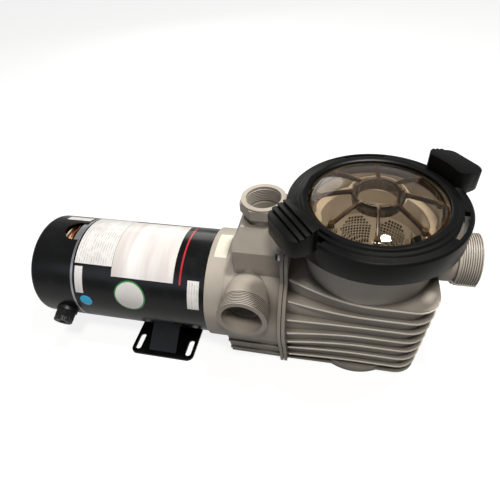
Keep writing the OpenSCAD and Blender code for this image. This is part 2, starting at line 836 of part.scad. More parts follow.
module flange_gasket() {
    color(rubber) difference() {
        yz_prism(x_vol_f, x_joint) body_2d(0);
        axial(x_vol_f - over, x_joint + over, passage_r + gasket_inset);
        at_flange_screws(concat(high_screws, low_screws))
            x_rod(x_vol_f - over, x_joint + over, bolt_r + seat_gap);
    }
}
module flange_screws() {
    color(steel) {
        at_flange_screws(high_screws) {
            x_rod(x_vol_f - flange_t, x_joint + flange_t, bolt_r);
            x_rod(x_vol_f - flange_t - bolt_head_h, x_vol_f - flange_t, bolt_head_r);
        }
        at_flange_screws(low_screws) {
            x_rod(x_vol_r, x_joint + rear_wall, bolt_r);
            x_rod(x_vol_r - bolt_head_h, x_vol_r, bolt_head_r);
        }
    }
}

module motor_bracket() {
    color(beige) difference() {
        union() {
            axial_tube(x_motor, x_vol_r, bracket_r, bracket_in);
            axial_tube(x_motor, x_motor + rear_rim_t, bracket_r - over, rear_rim_in);
            axial(x_web, x_vol_r, bracket_r - over);
            axial_tube(x_vol_r - over, x_vol_r + spigot_len, chamber_r - seat_gap, chamber_r - spigot_wall);
            axial(x_web, x_seal, seal_boss_r);
        }
        axial(x_web - over, x_vol_r, shaft_r + shaft_room);
        axial(x_seat, x_seal + over, seat_r + seat_gap);
        axial_tube(x_vol_r + groove_back, x_vol_r + groove_back + groove_t,
            chamber_r + over, chamber_r - groove_t);
        round_shaft(bolt_count, motor_bolt_pcr, motor_bolt_a)
            x_rod(x_motor - over, x_motor + rear_rim_t + over, motor_bolt_r + seat_gap);
        round_shaft(screw_count, screw_pcr, screw_a) x_rod(x_web - over, x_vol_r + over, bolt_r + seat_gap);
        translate([x_motor + rear_rim_t, -window_w / 2, 0])
            cube([x_web - x_motor - rear_rim_t, window_w, shaft_h - rear_rim_in]);
        at_flange_screws(low_screws) x_rod(x_web, x_vol_r + over, bolt_head_r + run_gap);
    }
}
module housing_o_ring() {
    x = x_vol_r + groove_back + groove_t / 2;
    color(rubber) x_ring(x, chamber_r - groove_t + wire_r + seat_gap, wire_r);
}
module bracket_screws() {
    color(steel) round_shaft(screw_count, screw_pcr, screw_a) {
        x_rod(x_web, x_vol_r + screw_bite, bolt_r);
        x_rod(x_web - bolt_head_h, x_web, bolt_head_r);
    }
}
module motor_bolts() {
    x0 = x_motor + rear_rim_t;
    color(steel) round_shaft(bolt_count, motor_bolt_pcr, motor_bolt_a) {
        x_rod(x_motor - bell_web_t, x0, motor_bolt_r);
        x_hex(x0, x0 + motor_bolt_head_h, motor_bolt_head_r);
    }
}

module diffuser() {
    color(black) difference() {
        union() {
            axial(x_disc, x_wall, diffuser_r);
            axial(x_disc, x_wall + diffuser_spigot_len, diffuser_spigot_r);
            for (i = [0 : guide_count - 1])
                translate([0, 0, shaft_h]) rotate([360 * i / guide_count, 0, 0])
                    translate([x_disc - guide_back, -guide_off, diffuser_r - guide_sink])
                    rotate([-guide_lean, 0, 0]) cube([guide_len, guide_t, guide_h]);
        }
        axial(x_disc - over, x_disc + wear_len, eye_r + run_gap);
        axial(x_disc, x_wall + diffuser_spigot_len + over, eye_r - eye_wall);
        axial_tube(x_wall + diffuser_groove, x_wall + diffuser_groove + groove_t,
            diffuser_spigot_r + over, diffuser_spigot_r - groove_t);
    }
}
module diffuser_o_ring() {
    x = x_wall + diffuser_groove + groove_t / 2;
    color(rubber) x_ring(x, diffuser_spigot_r - groove_t + wire_r + seat_gap, wire_r);
}
module seal_seat() {
    color("#e4e2da") axial_tube(x_seat, x_seal, seat_r, shaft_r + shaft_room);
}

// Places of the basket's holes
basket_z = pot_floor + basket_lift;
panel_lift = 78;
panel_z = basket_z + panel_lift;
hole_pitch_a = 8;
hole_half_a = 2.4;
module strainer_basket() {
    color(tan) difference() {
        union() {
            translate([0, 0, basket_z])
                cylinder(h = ledge_z - basket_z, r1 = basket_low_r, r2 = basket_top_r);
            translate([0, 0, ledge_z]) cylinder(h = basket_rim_t, r = ledge_in - run_gap);
        }
        translate([0, 0, basket_z + basket_wall])
            cylinder(h = ledge_z - basket_z - basket_wall,
                r1 = basket_low_r - basket_wall, r2 = basket_top_r - basket_wall);
        translate([0, 0, ledge_z - over / 2])
            cylinder(h = basket_rim_t + over, r = basket_top_r - basket_wall);
        translate([0, 0, suction_z]) rotate([0, 90, 0]) cylinder(h = basket_top_r + over, r = way_r);
        for (k = [0 : basket_rows - 1])
            translate([0, 0, panel_z + k * basket_row_pitch]) linear_extrude(height = basket_hole)
                basket_row_2d();
    }
}
// One row of holes, cut from outside the wall to inside it
module basket_row_2d() {
    for (p = [0 : basket_panels - 1], c = [0 : basket_cols - 1])
        rotate(360 * (p + 0.5) / basket_panels + hole_pitch_a * (c - (basket_cols - 1) / 2))
            sector(basket_low_r - 2 * basket_wall, basket_top_r + over, -hole_half_a, hole_half_a);
}

module lid_o_ring() {
    color(rubber) translate([0, 0, rim_z - oring_r]) rotate_extrude() translate([oring_pcr, 0])
        circle(oring_r, $fn = 32);
}

// A plug with its head on z = 0, its thread towards -Z, and the hole and groove that take it
module drain_hole(reach) {
    translate([0, 0, -reach]) cylinder(h = reach + over, r = drain_r + seat_gap);
    translate([0, 0, -2 * drain_ring_r - ring_squeeze])
        cylinder(h = 3 * drain_ring_r, r = drain_ring_pcr + drain_ring_r + ring_squeeze);
}
module drain_plug() {
    color(black) {
        translate([0, 0, -drain_plug_len]) cylinder(h = drain_plug_len, r = drain_r);
        cylinder(h = drain_flange_t, r = drain_boss_r);
        cylinder(h = drain_head_h, r = drain_head_r, $fn = 6);
    }
}
module drain_o_ring() {
    color(rubber) translate([0, 0, -drain_ring_r - seat_gap]) rotate_extrude() translate([drain_ring_pcr, 0])
        circle(drain_ring_r, $fn = 32);
}
module pot_drain_plug() { at_pot_drain() drain_plug(); }
module pot_drain_o_ring() { at_pot_drain() drain_o_ring(); }
module volute_drain_plug() { at_volute_drain() drain_plug(); }
module volute_drain_o_ring() { at_volute_drain() drain_o_ring(); }

module motor_shell() {
    color(black) difference() {
        axial_tube(x_shell_r, x_shell_f, motor_r, shell_in);
        at_foot_screws() cylinder(h = shaft_h, r = bolt_r + seat_gap);
        at_lug() translate([0, 0, -shell_wall - over])
            cylinder(h = shell_wall + 2 * over, r = bolt_r + seat_gap);
    }
}
module bell_bolt_holes(x0, x1) {
    round_shaft(bolt_count, bolt_pcr) x_rod(x0, x1, bolt_r + seat_gap);
}
module front_end_bell() {
    color(black) difference() {
        union() {
            axial(x_shell_f, x_motor, motor_r);
            axial_tube(x_shell_f - bell_spigot, x_shell_f, shell_in - seat_gap, bell_in);
            axial(x_motor - bell_web_t, x_motor, shell_in - seat_gap);
            axial(front_seat_x - bearing_w, x_motor, bearing_r + hub_wall);
        }
        axial(front_seat_x - bearing_w - over, front_seat_x, bearing_r + seat_gap);
        axial(front_seat_x - over, x_motor + over, shaft_r + shaft_room);
        round_shaft(bolt_count, motor_bolt_pcr, motor_bolt_a)
            x_rod(x_motor - 2 * bell_spigot, x_motor + over, motor_bolt_r + seat_gap);
        bell_bolt_holes(x_motor - 3 * bell_spigot, x_motor + over);
    }
}
module rear_end_bell() {
    color(cast) difference() {
        union() {
            axial(x_cover, x_shell_r, motor_r);
            axial_tube(x_shell_r, x_shell_r + bell_spigot, shell_in - seat_gap, bell_in);
            axial(x_cover, x_cover + bell_web_t, shell_in - seat_gap);
            axial(x_cover, rear_seat_x + bearing_w, bearing_r + hub_wall);
            axial_tube(x_cover - cover_spigot, x_cover + over, motor_r - cover_wall - seat_gap,
                motor_r - cover_wall - cover_spigot_t);
        }
        axial(rear_seat_x, rear_seat_x + bearing_w + over, bearing_r + seat_gap);
        axial(x_cover - over, rear_seat_x + over, shaft_r + shaft_room);
        round_shaft(bell_vent_count, bell_vent_pcr, bell_vent_a)
            x_rod(x_cover - over, x_cover + bell_web_t + over, bell_vent_r);
        bell_bolt_holes(x_cover - over, x_cover + 3 * bell_spigot);
        round_shaft(2, cover_screw_pcr, 90)
            x_rod(x_cover - over, x_cover + bell_web_t + over, bolt_r + seat_gap);
    }
}
module rear_cover() {
    color(black) difference() {
        translate([x_end, 0, shaft_h]) rotate([0, 90, 0]) rotate_extrude() cover_2d();
        for (side = [0, 180])
            translate([x_cover - vent_depth + vent_r, 0, shaft_h]) rotate([side, 0, 0]) {
                cylinder(h = motor_r + over, r = vent_r);
                translate([0, -vent_r, 0]) cube([vent_depth - vent_r + over, 2 * vent_r, motor_r + over]);
            }
        at_gland() cylinder(h = motor_r, r = gland_r + seat_gap);
        round_shaft(2, cover_screw_pcr, 90)
            x_rod(x_end - over, x_end + cover_wall + over, bolt_r + seat_gap);
    }
}
module cover_2d() {
    r_in = cover_round - cover_wall;
    difference() {
        union() {
            translate([0, cover_round]) square([motor_r, cover_len - cover_round]);
            square([motor_r - cover_round, cover_round + over]);
            translate([motor_r - cover_round, cover_round]) circle(cover_round);
        }
        translate([-over, cover_round]) square([motor_r - cover_wall + over, cover_len]);
        translate([-over, cover_wall]) square([motor_r - cover_round + over, cover_len]);
        translate([motor_r - cover_round, cover_round]) circle(r_in);
    }
}
module stator_core() {
    color("#55585c") difference() {
        axial_tube(x_core_r, x_core_f, shell_in - seat_gap, stator_bore_r);
        bell_bolt_notches();
    }
}
module bell_bolt_notches() {
    round_shaft(bolt_count, bolt_pcr) x_rod(x_core_r - over, x_core_f + over, bolt_r + run_gap);
    for (i = [0 : bolt_count - 1])
        translate([x_core_r - over, 0, shaft_h]) rotate([360 * i / bolt_count, 0, 0])
            translate([0, -bolt_r, bolt_pcr]) cube([core_len + 2 * over, 2 * bolt_r, motor_r]);
}
module stator_windings() {
    w = winding_r - stator_bore_r - slot_room;
    mid = winding_r - w / 2;
    r = winding_round;
    color(copper) for (x = [x_core_f, x_core_r])
        translate([x, 0, shaft_h]) rotate([0, x == x_core_f ? 90 : -90, 0]) rotate_extrude()
            translate([mid - w / 2, 0]) {
                square([w, winding_len - r]);
                translate([r, 0]) square([w - 2 * r, winding_len]);
                for (e = [r, w - r])
                    translate([e, winding_len - r]) circle(r);
            }
}
module outer_race(x) {
    color(steel) axial_tube(x, x + bearing_w, bearing_r, ball_pcr + ball_r + race_gap);
}
module inner_race(x) {
    color(steel) axial_tube(x, x + bearing_w, ball_pcr - ball_r - race_gap, shaft_r);
}
module front_outer_race() { outer_race(front_seat_x - bearing_w); }
module rear_outer_race() { outer_race(rear_seat_x); }
module front_inner_race() { inner_race(front_seat_x - bearing_w); }
module rear_inner_race() { inner_race(rear_seat_x); }
module bearing_balls() {
    color(steel) for (x = [front_seat_x - bearing_w / 2, rear_seat_x + bearing_w / 2])
        round_shaft(ball_count, ball_pcr) translate([x, 0, 0]) sphere(ball_r, $fn = 24);
}
module through_bolts() {
    color(steel) round_shaft(bolt_count, bolt_pcr) {
        x_rod(x_cover, x_motor - over, bolt_r);
        x_rod(x_cover - bolt_head_h, x_cover, bolt_head_r);
    }
}
module cover_screws() {
    color(steel) round_shaft(2, cover_screw_pcr, 90) {
        x_rod(x_end, x_cover + bell_web_t, bolt_r);
        x_rod(x_end - bolt_head_h, x_end, bolt_head_r);
    }
}

// Electrical parts behind the rear end bell
capacitor_back = 34.5;
capacitor_lift = 11;
capacitor_x = x_cover - capacitor_back;
capacitor_z = shaft_h - motor_r + cover_wall + capacitor_r + capacitor_lift;
tab_pitch = 12;
tab_r = 1.6;
tab_len = 4;
strap_t = 1.2;
strap_w = 14;
strap_sink = 2;
board = [3, 32, 28];
board_gap = 0.6;
board_low_z = 14;
board_back = 12;
board_far_y = sqrt(pow(motor_r - cover_wall - board_gap, 2) - pow(board_low_z + board[2], 2));
board_at = [-board_back, board_far_y - board[1], board_low_z];
board_post_r = 3;
board_post_in = 5;
board_post_z = 8;
blade = [6, 0.8, 6];
blade_pitch = 7;
blade_in = 6;
blade_rows = [8, 19];
switch_at = [-16, -50, 12];
switch_box = [16, 20, 22];
switch_arm_at = [-22, -44, 20];
switch_arm = [6, 14, 2];
governor_r = shaft_h - capacitor_z - capacitor_r - strap_t - governor_gap;
governor_back = 24;
governor_len = 18;
governor_disc_t = 3;
governor_step = 4;
governor_sleeve = 5;
governor_weight = [10, 4];
module capacitor() {
    color("#30333a") translate([capacitor_x, -capacitor_len / 2, capacitor_z]) rotate([-90, 0, 0]) {
        cylinder(h = capacitor_len, r = capacitor_r);
        for (s = [-1, 1])
            translate([s * tab_pitch / 2, 0, 0]) cylinder(h = capacitor_len + tab_len, r = tab_r);
    }
}
module capacitor_strap() {
    color(cast) difference() {
        union() {
            translate([capacitor_x, -strap_w / 2, capacitor_z]) rotate([-90, 0, 0])
                cylinder(h = strap_w, r = capacitor_r + strap_t);
            translate([capacitor_x, -strap_w / 2, capacitor_z + capacitor_r - strap_sink])
                cube([x_cover - capacitor_x, strap_w, strap_t + strap_sink]);
        }
        translate([capacitor_x, -strap_w, capacitor_z]) rotate([-90, 0, 0])
            cylinder(h = 2 * strap_w, r = capacitor_r + seat_gap);
    }
}
module terminal_board() {
    stand = -board_at[0] - board[0];
    color("#2a2a2c") translate([x_cover, 0, shaft_h] + board_at) {
        cube(board);
        for (y = [board_post_in, board[1] - board_post_in])
            translate([board[0], y, board_post_z]) rotate([0, 90, 0]) cylinder(h = stand, r = board_post_r);
        for (i = [0 : 3], z = blade_rows)
            translate([-blade[0], blade_in + i * blade_pitch - blade[1] / 2, z]) cube(blade);
    }
}
module start_switch() {
    color("#7a3b28") translate([x_cover, 0, shaft_h]) {
        translate(switch_at) cube(switch_box);
        translate(switch_arm_at) cube(switch_arm);
    }
}
module governor() {
    x0 = x_cover - governor_back;
    x1 = x0 + governor_len;
    color("#8c7b4e") difference() {
        union() {
            axial(x0, x0 + governor_disc_t, governor_r);
            axial(x0, x1, shaft_r + governor_sleeve);
            axial(x1 - governor_disc_t, x1, governor_r - governor_step);
            for (a = [0, 180])
                translate([x0, 0, shaft_h]) rotate([a, 0, 0])
                    translate([0, -governor_weight[0] / 2, governor_r - governor_step - governor_weight[1]])
                    cube([governor_len, governor_weight[0], governor_weight[1]]);
        }
        axial(x0 - over, x1 + over, shaft_r - over);
    }
}
// Cord gland, with its nut outside the cover
gland_in = 9;
gland_len = 24;
gland_lip = [3.5, 6];
gland_lip_sink = 2;
nut_gap = 4;
nut_lip = [3.4, 9];
nose_lip = [1, 6];
nut_wall = 3.8;
module at_gland() {
    translate([x_cover - gland_back, 0, shaft_h]) rotate([gland_a, 0, 0]) children();
}
module cord_gland() {
    color(black) difference() {
        union() {
            at_gland() translate([0, 0, motor_r - gland_in]) cylinder(h = gland_len, r = gland_r);
            difference() {
                at_gland() translate([0, 0, motor_r - gland_lip_sink])
                    cylinder(h = gland_lip[1], r = gland_r + gland_lip[0]);
                axial(x_end, x_cover, motor_r + seat_gap);
            }
        }
        at_gland() translate([0, 0, motor_r - gland_in - over])
            cylinder(h = gland_len + 2 * over, r = cord_r);
    }
}
module gland_nut() {
    nut_h = nut_lip[1] + nose_lip[1];
    color(black) at_gland() translate([0, 0, motor_r + nut_gap]) difference() {
        union() {
            cylinder(h = nut_lip[1], r = gland_r + nut_lip[0], $fn = 6);
            translate([0, 0, nut_lip[1]]) cylinder(h = nose_lip[1], r = gland_r + nose_lip[0]);
        }
        translate([0, 0, -over]) cylinder(h = nut_h - nut_wall + over, r = gland_r + seat_gap);
        translate([0, 0, -over]) cylinder(h = nut_h + 2 * over, r = cord_r);
    }
}
// Bonding lug on the far side of the shell: a copper foot with a clamp block at one end
bond_back = 6;
bond_a = 100;
bond_sink = 0.2;
bond_foot = [10, 28, 3];
bond_start = 6;
bond_block = [10, 10, 12];
bond_wire_r = 2.6;
bond_wire_z = 7;
bond_head_h = 3.5;
module at_lug() {
    translate([x_shell_r + bell_spigot + bond_back, 0, shaft_h]) rotate([-bond_a, 0, 0])
        translate([0, 0, motor_r]) children();
}
module bonding_lug() {
    block_y = bond_foot[1] - bond_start - bond_block[1];
    color(copper) at_lug() difference() {
        union() {
            translate([-bond_foot[0] / 2, -bond_start, -bond_sink]) cube(bond_foot);
            translate([-bond_block[0] / 2, block_y, -bond_sink]) cube(bond_block);
        }
        cylinder(h = 2 * bond_block[2], r = bolt_r + seat_gap, center = true);
        translate([-bond_foot[0], block_y + bond_block[1] / 2, bond_wire_z]) rotate([0, 90, 0])
            cylinder(h = 2 * bond_foot[0], r = bond_wire_r);
        translate([0, 0, -motor_r]) rotate([0, 90, 0])
            cylinder(h = 2 * bond_foot[1], r = motor_r + seat_gap, center = true);
    }
}
module lug_screw() {
    head_z = bond_foot[2] - bond_sink;
    color(steel) at_lug() {
        translate([0, 0, -shell_wall - over / 2]) cylinder(h = shell_wall + over / 2 + head_z, r = bolt_r);
        translate([0, 0, head_z]) cylinder(h = bond_head_h, r = bolt_head_r, $fn = 6);
    }
}

// Foot bracket
x_foot = x_motor - foot_back;
motor_low_z = shaft_h - motor_r;
saddle_round = 2;
foot_head_w = 1;
module at_foot_screws() {
    for (s = [-1, 1])
        translate([x_foot + s * saddle_len / 4, 0, 0]) children();
}
module saddle_2d(inset) {
    difference() {
        polygon([[-saddle_low_hw + 2 * inset, foot_t - inset], [saddle_low_hw - 2 * inset, foot_t - inset],
            [saddle_high_hw - inset, saddle_h - inset], [inset - saddle_high_hw, saddle_h - inset]]);
        translate([0, shaft_h]) circle(motor_r + seat_gap + inset);
    }
}
module foot_bracket() {
    color(black) difference() {
        union() {
            translate([x_foot, 0, 0]) linear_extrude(height = foot_t)
                rounded_rect(-foot_len / 2, foot_len / 2, -foot_w / 2, foot_w / 2, foot_round);
            yz_prism(x_foot - saddle_len / 2, x_foot + saddle_len / 2) saddle_2d(0);
        }
        yz_prism(x_foot - saddle_len / 2 + foot_t, x_foot + saddle_len / 2 - foot_t) saddle_2d(foot_t);
        translate([x_foot, 0, -over]) linear_extrude(height = foot_t + over + over / 2)
            rounded_rect(foot_t - saddle_len / 2, saddle_len / 2 - foot_t,
                2 * foot_t - saddle_low_hw, saddle_low_hw - 2 * foot_t, saddle_round);
        for (sx = [-1, 1], sy = [-1, 1])
            translate([x_foot + sx * slot_pitch_x / 2, sy * slot_pitch_y / 2, -over]) slot_cut();
        at_foot_screws() cylinder(h = shaft_h, r = bolt_r + seat_gap);
    }
}
module slot_cut() {
    run = (slot_len - slot_w) / 2;
    for (y = [-run, run])
        translate([0, y, 0]) cylinder(h = foot_t + 2 * over, r = slot_w / 2);
    translate([-slot_w / 2, -run, 0]) cube([slot_w, 2 * run, foot_t + 2 * over]);
}
module foot_screws() {
    head_z = motor_low_z - foot_t - run_gap;
    color(steel) at_foot_screws() {
        translate([0, 0, head_z - bolt_head_h])
            cylinder(h = bolt_head_h, r = bolt_head_r + foot_head_w, $fn = 6);
        translate([0, 0, head_z - over]) cylinder(h = foot_t + shell_wall + over, r = bolt_r);
    }
}

// Rotating parts
shaft_tail = 26;
end_ring_len = 8;
end_ring_in = 1.5;
end_ring_w = 7.5;
slinger_gap = 1.5;
slinger_t = 3;
slinger_r = 15;
fan_gap = 2;
fan_disc_t = 2;
fan_len = 9;
fan_sleeve = 5;
fan_blade_t = 2;
fan_blade_root = 22;
fan_blade_in = 2;
fan_blade_len = 8;
module shaft() {
    color(steel) {
        axial(x_imp, x_imp + hub_bore_len, shaft_nose_r);
        axial(front_seat_x, x_imp, shaft_nose_r);
        axial(x_cover, front_seat_x, shaft_r - seat_gap);
        axial(x_cover - shaft_tail, x_cover, shaft_r - over - seat_gap);
    }
}
module rotor_core() {
    r = stator_bore_r - air_gap;
    color("#7d8084") difference() {
        union() {
            axial(x_core_r, x_core_f, r);
            axial_tube(x_core_r - end_ring_len, x_core_f + end_ring_len,
                r - end_ring_in, r - end_ring_in - end_ring_w);
        }
        axial(x_core_r - over, x_core_f + over, shaft_r);
    }
}
// One backward curved vane, as the part of a thin ring that lies between hub and rim
module vane_2d() {
    intersection() {
        translate([vane_bend, vane_off]) difference() {
            circle(vane_bend + vane_t / 2);
            circle(vane_bend - vane_t / 2);
        }
        square([impeller_r, impeller_r]);
        difference() {
            circle(impeller_r - vane_tip);
            circle(impeller_hub_r - vane_root);
        }
    }
}
module impeller() {
    x_vane = x_imp + shroud_t;
    color(black) difference() {
        union() {
            axial(x_imp, x_vane, impeller_r);
            axial(x_imp, x_imp + hub_bore_len + hub_cap_t, impeller_hub_r);
            axial_tube(x_vane + vane_w, x_imp_f, impeller_r, eye_r - eye_wall);
            axial_tube(x_imp_f - over, x_eye, eye_r, eye_r - eye_wall);
            for (i = [0 : vane_count - 1])
                translate([x_vane - shroud_t / 2, 0, shaft_h]) rotate([360 * i / vane_count, 0, 0])
                    rotate([0, 90, 0])
                    linear_extrude(height = vane_w + shroud_t) vane_2d();
        }
        axial(x_imp - over, x_imp + hub_bore_len, shaft_nose_r + seat_gap);
    }
}
module seal_head() {
    x0 = x_seal + seat_gap;
    color("#3a3a3d") {
        axial_tube(x0, x0 + seal_face_t, seat_r - seal_face_in, shaft_nose_r + seat_gap);
        axial_tube(x0 + seal_face_t - seat_gap, x_imp - seat_gap,
            shaft_nose_r + seal_sleeve_t, shaft_nose_r + seat_gap);
    }
}
// A helical wire round the shaft, swept as rings of points
spring_sides = 6;
spring_rings = 12 * spring_turns;
spring_room = 0.5;
spring_pcr = shaft_nose_r + seal_sleeve_t + spring_wire_r + spring_room;
spring_x0 = x_seal + seat_gap + seal_face_t + spring_wire_r + seat_gap;
spring_x1 = x_imp - spring_wire_r - 2 * seat_gap;
function spring_point(i, j) = let (
    turn = 360 * spring_turns * i / spring_rings,
    a = 360 * j / spring_sides,
    r = spring_pcr + spring_wire_r * cos(a),
    x = spring_x0 + (spring_x1 - spring_x0) * i / spring_rings + spring_wire_r * sin(a))
    [x, r * sin(turn), shaft_h + r * cos(turn)];
module seal_spring() {
    points = [for (i = [0 : spring_rings], j = [0 : spring_sides - 1]) spring_point(i, j)];
    walls = [for (i = [0 : spring_rings - 1], j = [0 : spring_sides - 1]) let (
        a = i * spring_sides + j,
        b = i * spring_sides + (j + 1) % spring_sides)
        each [[a, a + spring_sides, b], [b, a + spring_sides, b + spring_sides]]];
    last = spring_rings * spring_sides;
    caps = [for (j = [1 : spring_sides - 2]) each [[0, j, j + 1], [last, last + j + 1, last + j]]];
    color(steel) polyhedron(points = points, faces = concat(walls, caps));
}
module slinger() {
    x0 = x_motor + rear_rim_t + slinger_gap;
    color(rubber) axial_tube(x0, x0 + slinger_t, slinger_r, shaft_nose_r);
}
module cooling_fan() {
    x1 = front_seat_x - bearing_w - fan_gap;
    color("#d7d4c8") difference() {
        union() {
            axial(x1 - fan_disc_t, x1, fan_r);
            axial(x1 - fan_len, x1, shaft_r + fan_sleeve);
            for (i = [0 : fan_blades - 1])
                translate([x1 - fan_len, 0, shaft_h]) rotate([360 * i / fan_blades, 0, 0])
                    translate([0, -fan_blade_t / 2, fan_blade_root])
                    cube([fan_blade_len, fan_blade_t, fan_r - fan_blade_in - fan_blade_root]);
        }
        axial(x1 - fan_len - over, x1 + over, shaft_r);
    }
}

// Lid
module lid_lens() {
    inner = dome_r - lens_t;
    color([0.75, 0.62, 0.42, 0.45]) {
        rotate_extrude() {
            translate([lens_r - lens_t, lens_z]) square([lens_flange_r - lens_r + lens_t, lens_flange_t]);
            translate([lens_r - lens_t, lens_z]) square([lens_t, dome_z - lens_z]);
            intersection() {
                translate([0, dome_c]) difference() {
                    circle(dome_r, $fn = 200);
                    circle(inner, $fn = 200);
                }
                translate([0, dome_z - lens_t]) square([lens_r, lens_rise + 2 * lens_t]);
            }
        }
        intersection() {
            translate([0, 0, dome_z - lens_t]) difference() {
                cylinder(h = 2 * lens_rise, r = hub_r);
                translate([0, 0, -over]) cylinder(h = 3 * lens_rise, r = hub_r - lens_rib_t);
            }
            translate([0, 0, dome_c]) sphere(inner + lens_t / 2, $fn = 200);
        }
        difference() {
            intersection() {
                translate([0, 0, dome_z - lens_t])
                    for (i = [0 : lens_rib_count - 1])
                        rotate(360 * i / lens_rib_count)
                            translate([hub_r - lens_rib_t / 2, -lens_rib_t / 2, 0])
                            cube([lens_r - hub_r - lens_t / 2 + lens_rib_t / 2, lens_rib_t, 2 * lens_rise]);
                translate([0, 0, dome_c]) sphere(inner + lens_t / 2, $fn = 200);
            }
            translate([0, 0, dome_c]) sphere(inner - lens_rib_depth, $fn = 200);
        }
    }
}

// Lock ring
module ring_section() {
    polygon([
        [ring_in, skirt_z],
        [ring_in, ring_lip_z - ring_lip_round[1]],
        [ring_in + ring_lip_round[0], ring_lip_z],
        [ring_in + ring_crown, ring_lip_z],
        [ring_in + ring_step[0], ring_lip_z - ring_step[1]],
        [ring_in + ring_step_out, ring_lip_z - ring_step[1]],
        [ring_in + ring_tread, ring_edge_z],
        [ring_r - ring_edge_round, ring_edge_z],
        [ring_r, ring_edge_z - ring_edge_round],
        [ring_r, skirt_z]]);
}
// A handle steps up towards the ring in ridges with grooves between them
function ridge_x(k) = k == 0 ? handle_reach + over : handle_reach - ridge_out - ridge_pitch * (k - 1);
module handle() {
    top = handle_drop + handle_rise;
    x0 = handle_in - handle_root;
    translate([0, 0, ring_edge_z - handle_drop]) difference() {
        intersection() {
            linear_extrude(height = 2 * top)
                rounded_rect(x0, handle_reach, -handle_hw, handle_hw, handle_round);
            union() {
                for (k = [0 : handle_ridges])
                    translate([0, -handle_reach, 0])
                        cube([ridge_x(k), 2 * handle_reach, top + k * ridge_h]);
            }
        }
        for (k = [1 : handle_ridges])
            translate([ridge_x(k), -handle_reach, top + (k - 1) * ridge_h - groove[1]])
                cube([groove[0], 2 * handle_reach, 2 * groove[1]]);
        translate([0, 0, -over]) cylinder(h = 2 * top + 2 * over, r = handle_in);
    }
}
module at_lugs() {
    for (k = [0 : lug_count - 1])
        rotate(lug_a + k * 360 / lug_count) children();
}
module lock_ring() {
    color(black) {
        difference() {
            union() {
                rotate_extrude() ring_section();
                for (side = [0, 180])
                    rotate(handle_a + side) handle();
            }
            translate([0, 0, skirt_z - over]) cylinder(h = lip_z - skirt_z + over, r = skirt_in);
            at_lugs() translate([0, 0, lip_z - over]) linear_extrude(height = ring_top_t + handle_rise)
                sector(ring_window_in, skirt_in - run_gap, -ring_window_a, ring_window_a);
        }
        at_lugs() translate([0, 0, lug_z]) linear_extrude(height = lug_t)
            sector(lug_in, skirt_in + over, -lug_half_a, lug_half_a);
    }
}

strainer_pot();
volute_housing();
flange_gasket();
flange_screws();
motor_bracket();
housing_o_ring();
bracket_screws();
motor_bolts();
diffuser();
diffuser_o_ring();
seal_seat();
strainer_basket();
lid_o_ring();
pot_drain_plug();
pot_drain_o_ring();
volute_drain_plug();
volute_drain_o_ring();
motor_shell();
front_end_bell();
rear_end_bell();
rear_cover();
stator_core();
stator_windings();
front_outer_race();
rear_outer_race();
bearing_balls();
through_bolts();
cover_screws();
capacitor();
capacitor_strap();
terminal_board();
start_switch();
cord_gland();
gland_nut();
bonding_lug();
lug_screw();
foot_bracket();
foot_screws();
shaft();
rotor_core();
impeller();
seal_head();
seal_spring();
slinger();
cooling_fan();
front_inner_race();
rear_inner_race();
governor();
lid_lens();
lock_ring();
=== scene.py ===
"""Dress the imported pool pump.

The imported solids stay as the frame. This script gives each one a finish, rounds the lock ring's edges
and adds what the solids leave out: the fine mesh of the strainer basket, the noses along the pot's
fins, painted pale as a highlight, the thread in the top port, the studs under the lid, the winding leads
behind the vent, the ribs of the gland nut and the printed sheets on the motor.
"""

import logging
import math
from dataclasses import dataclass, field
from enum import Enum

import bmesh
import bpy
from mathutils import Matrix, Vector, noise


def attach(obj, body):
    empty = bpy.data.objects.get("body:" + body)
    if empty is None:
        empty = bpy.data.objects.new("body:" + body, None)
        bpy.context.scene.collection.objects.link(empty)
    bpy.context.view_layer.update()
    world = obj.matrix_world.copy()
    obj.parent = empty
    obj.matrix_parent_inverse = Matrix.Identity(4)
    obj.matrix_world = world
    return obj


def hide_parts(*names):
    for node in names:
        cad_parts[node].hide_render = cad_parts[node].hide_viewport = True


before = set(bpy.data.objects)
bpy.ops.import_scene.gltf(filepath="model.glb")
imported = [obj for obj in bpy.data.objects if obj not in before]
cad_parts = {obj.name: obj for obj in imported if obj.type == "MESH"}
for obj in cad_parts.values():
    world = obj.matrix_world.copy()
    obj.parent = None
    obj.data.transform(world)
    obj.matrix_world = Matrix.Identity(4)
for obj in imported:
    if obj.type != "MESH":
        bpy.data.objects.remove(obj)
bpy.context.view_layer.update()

log = logging.getLogger("pool_pump")

MM = 0.001

# Places that several pieces share, in millimetres
SHAFT_Z = 83.0
MOTOR_R = 70.0

# Points closer than this are one point, in metres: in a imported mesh, then in a grown one
WELD = 1e-6
SEAM = 1e-5

# Faces that meet at less than this are merged, in degrees
FLAT_DEG = 0.2
# Corners sharper than this are rounded on a rounded copy
ROUND_DEG = 35.0
# Corners sharper than this stay sharp: on studs, ribs and rounded copies, then on other pieces
SHARP_DEG = 40.0
CREASE_DEG = 30.0

# Sides of a stud, of a turn of the thread and of the thread's crest
STUD_SIDES = 16
TURN_SIDES = 64
CREST_SIDES = 8

# Sockets of a Mix node that mixes colours: its share, its two colours and its result
MIX_SHARE = 0
MIX_FIRST = 6
MIX_SECOND = 7
MIX_RESULT = 2

# Distance over which Blender's wave texture repeats at a scale of 1
WAVE_LENGTH = math.pi / 10


class Run(Enum):
    """How a round wire runs through its points."""

    SMOOTH = "NURBS"
    CORNERED = "POLY"


class Body(Enum):
    """The bodies of the pump that added pieces ride on."""

    HOUSING = "housing"
    LID = "lid"
    RING = "ring"


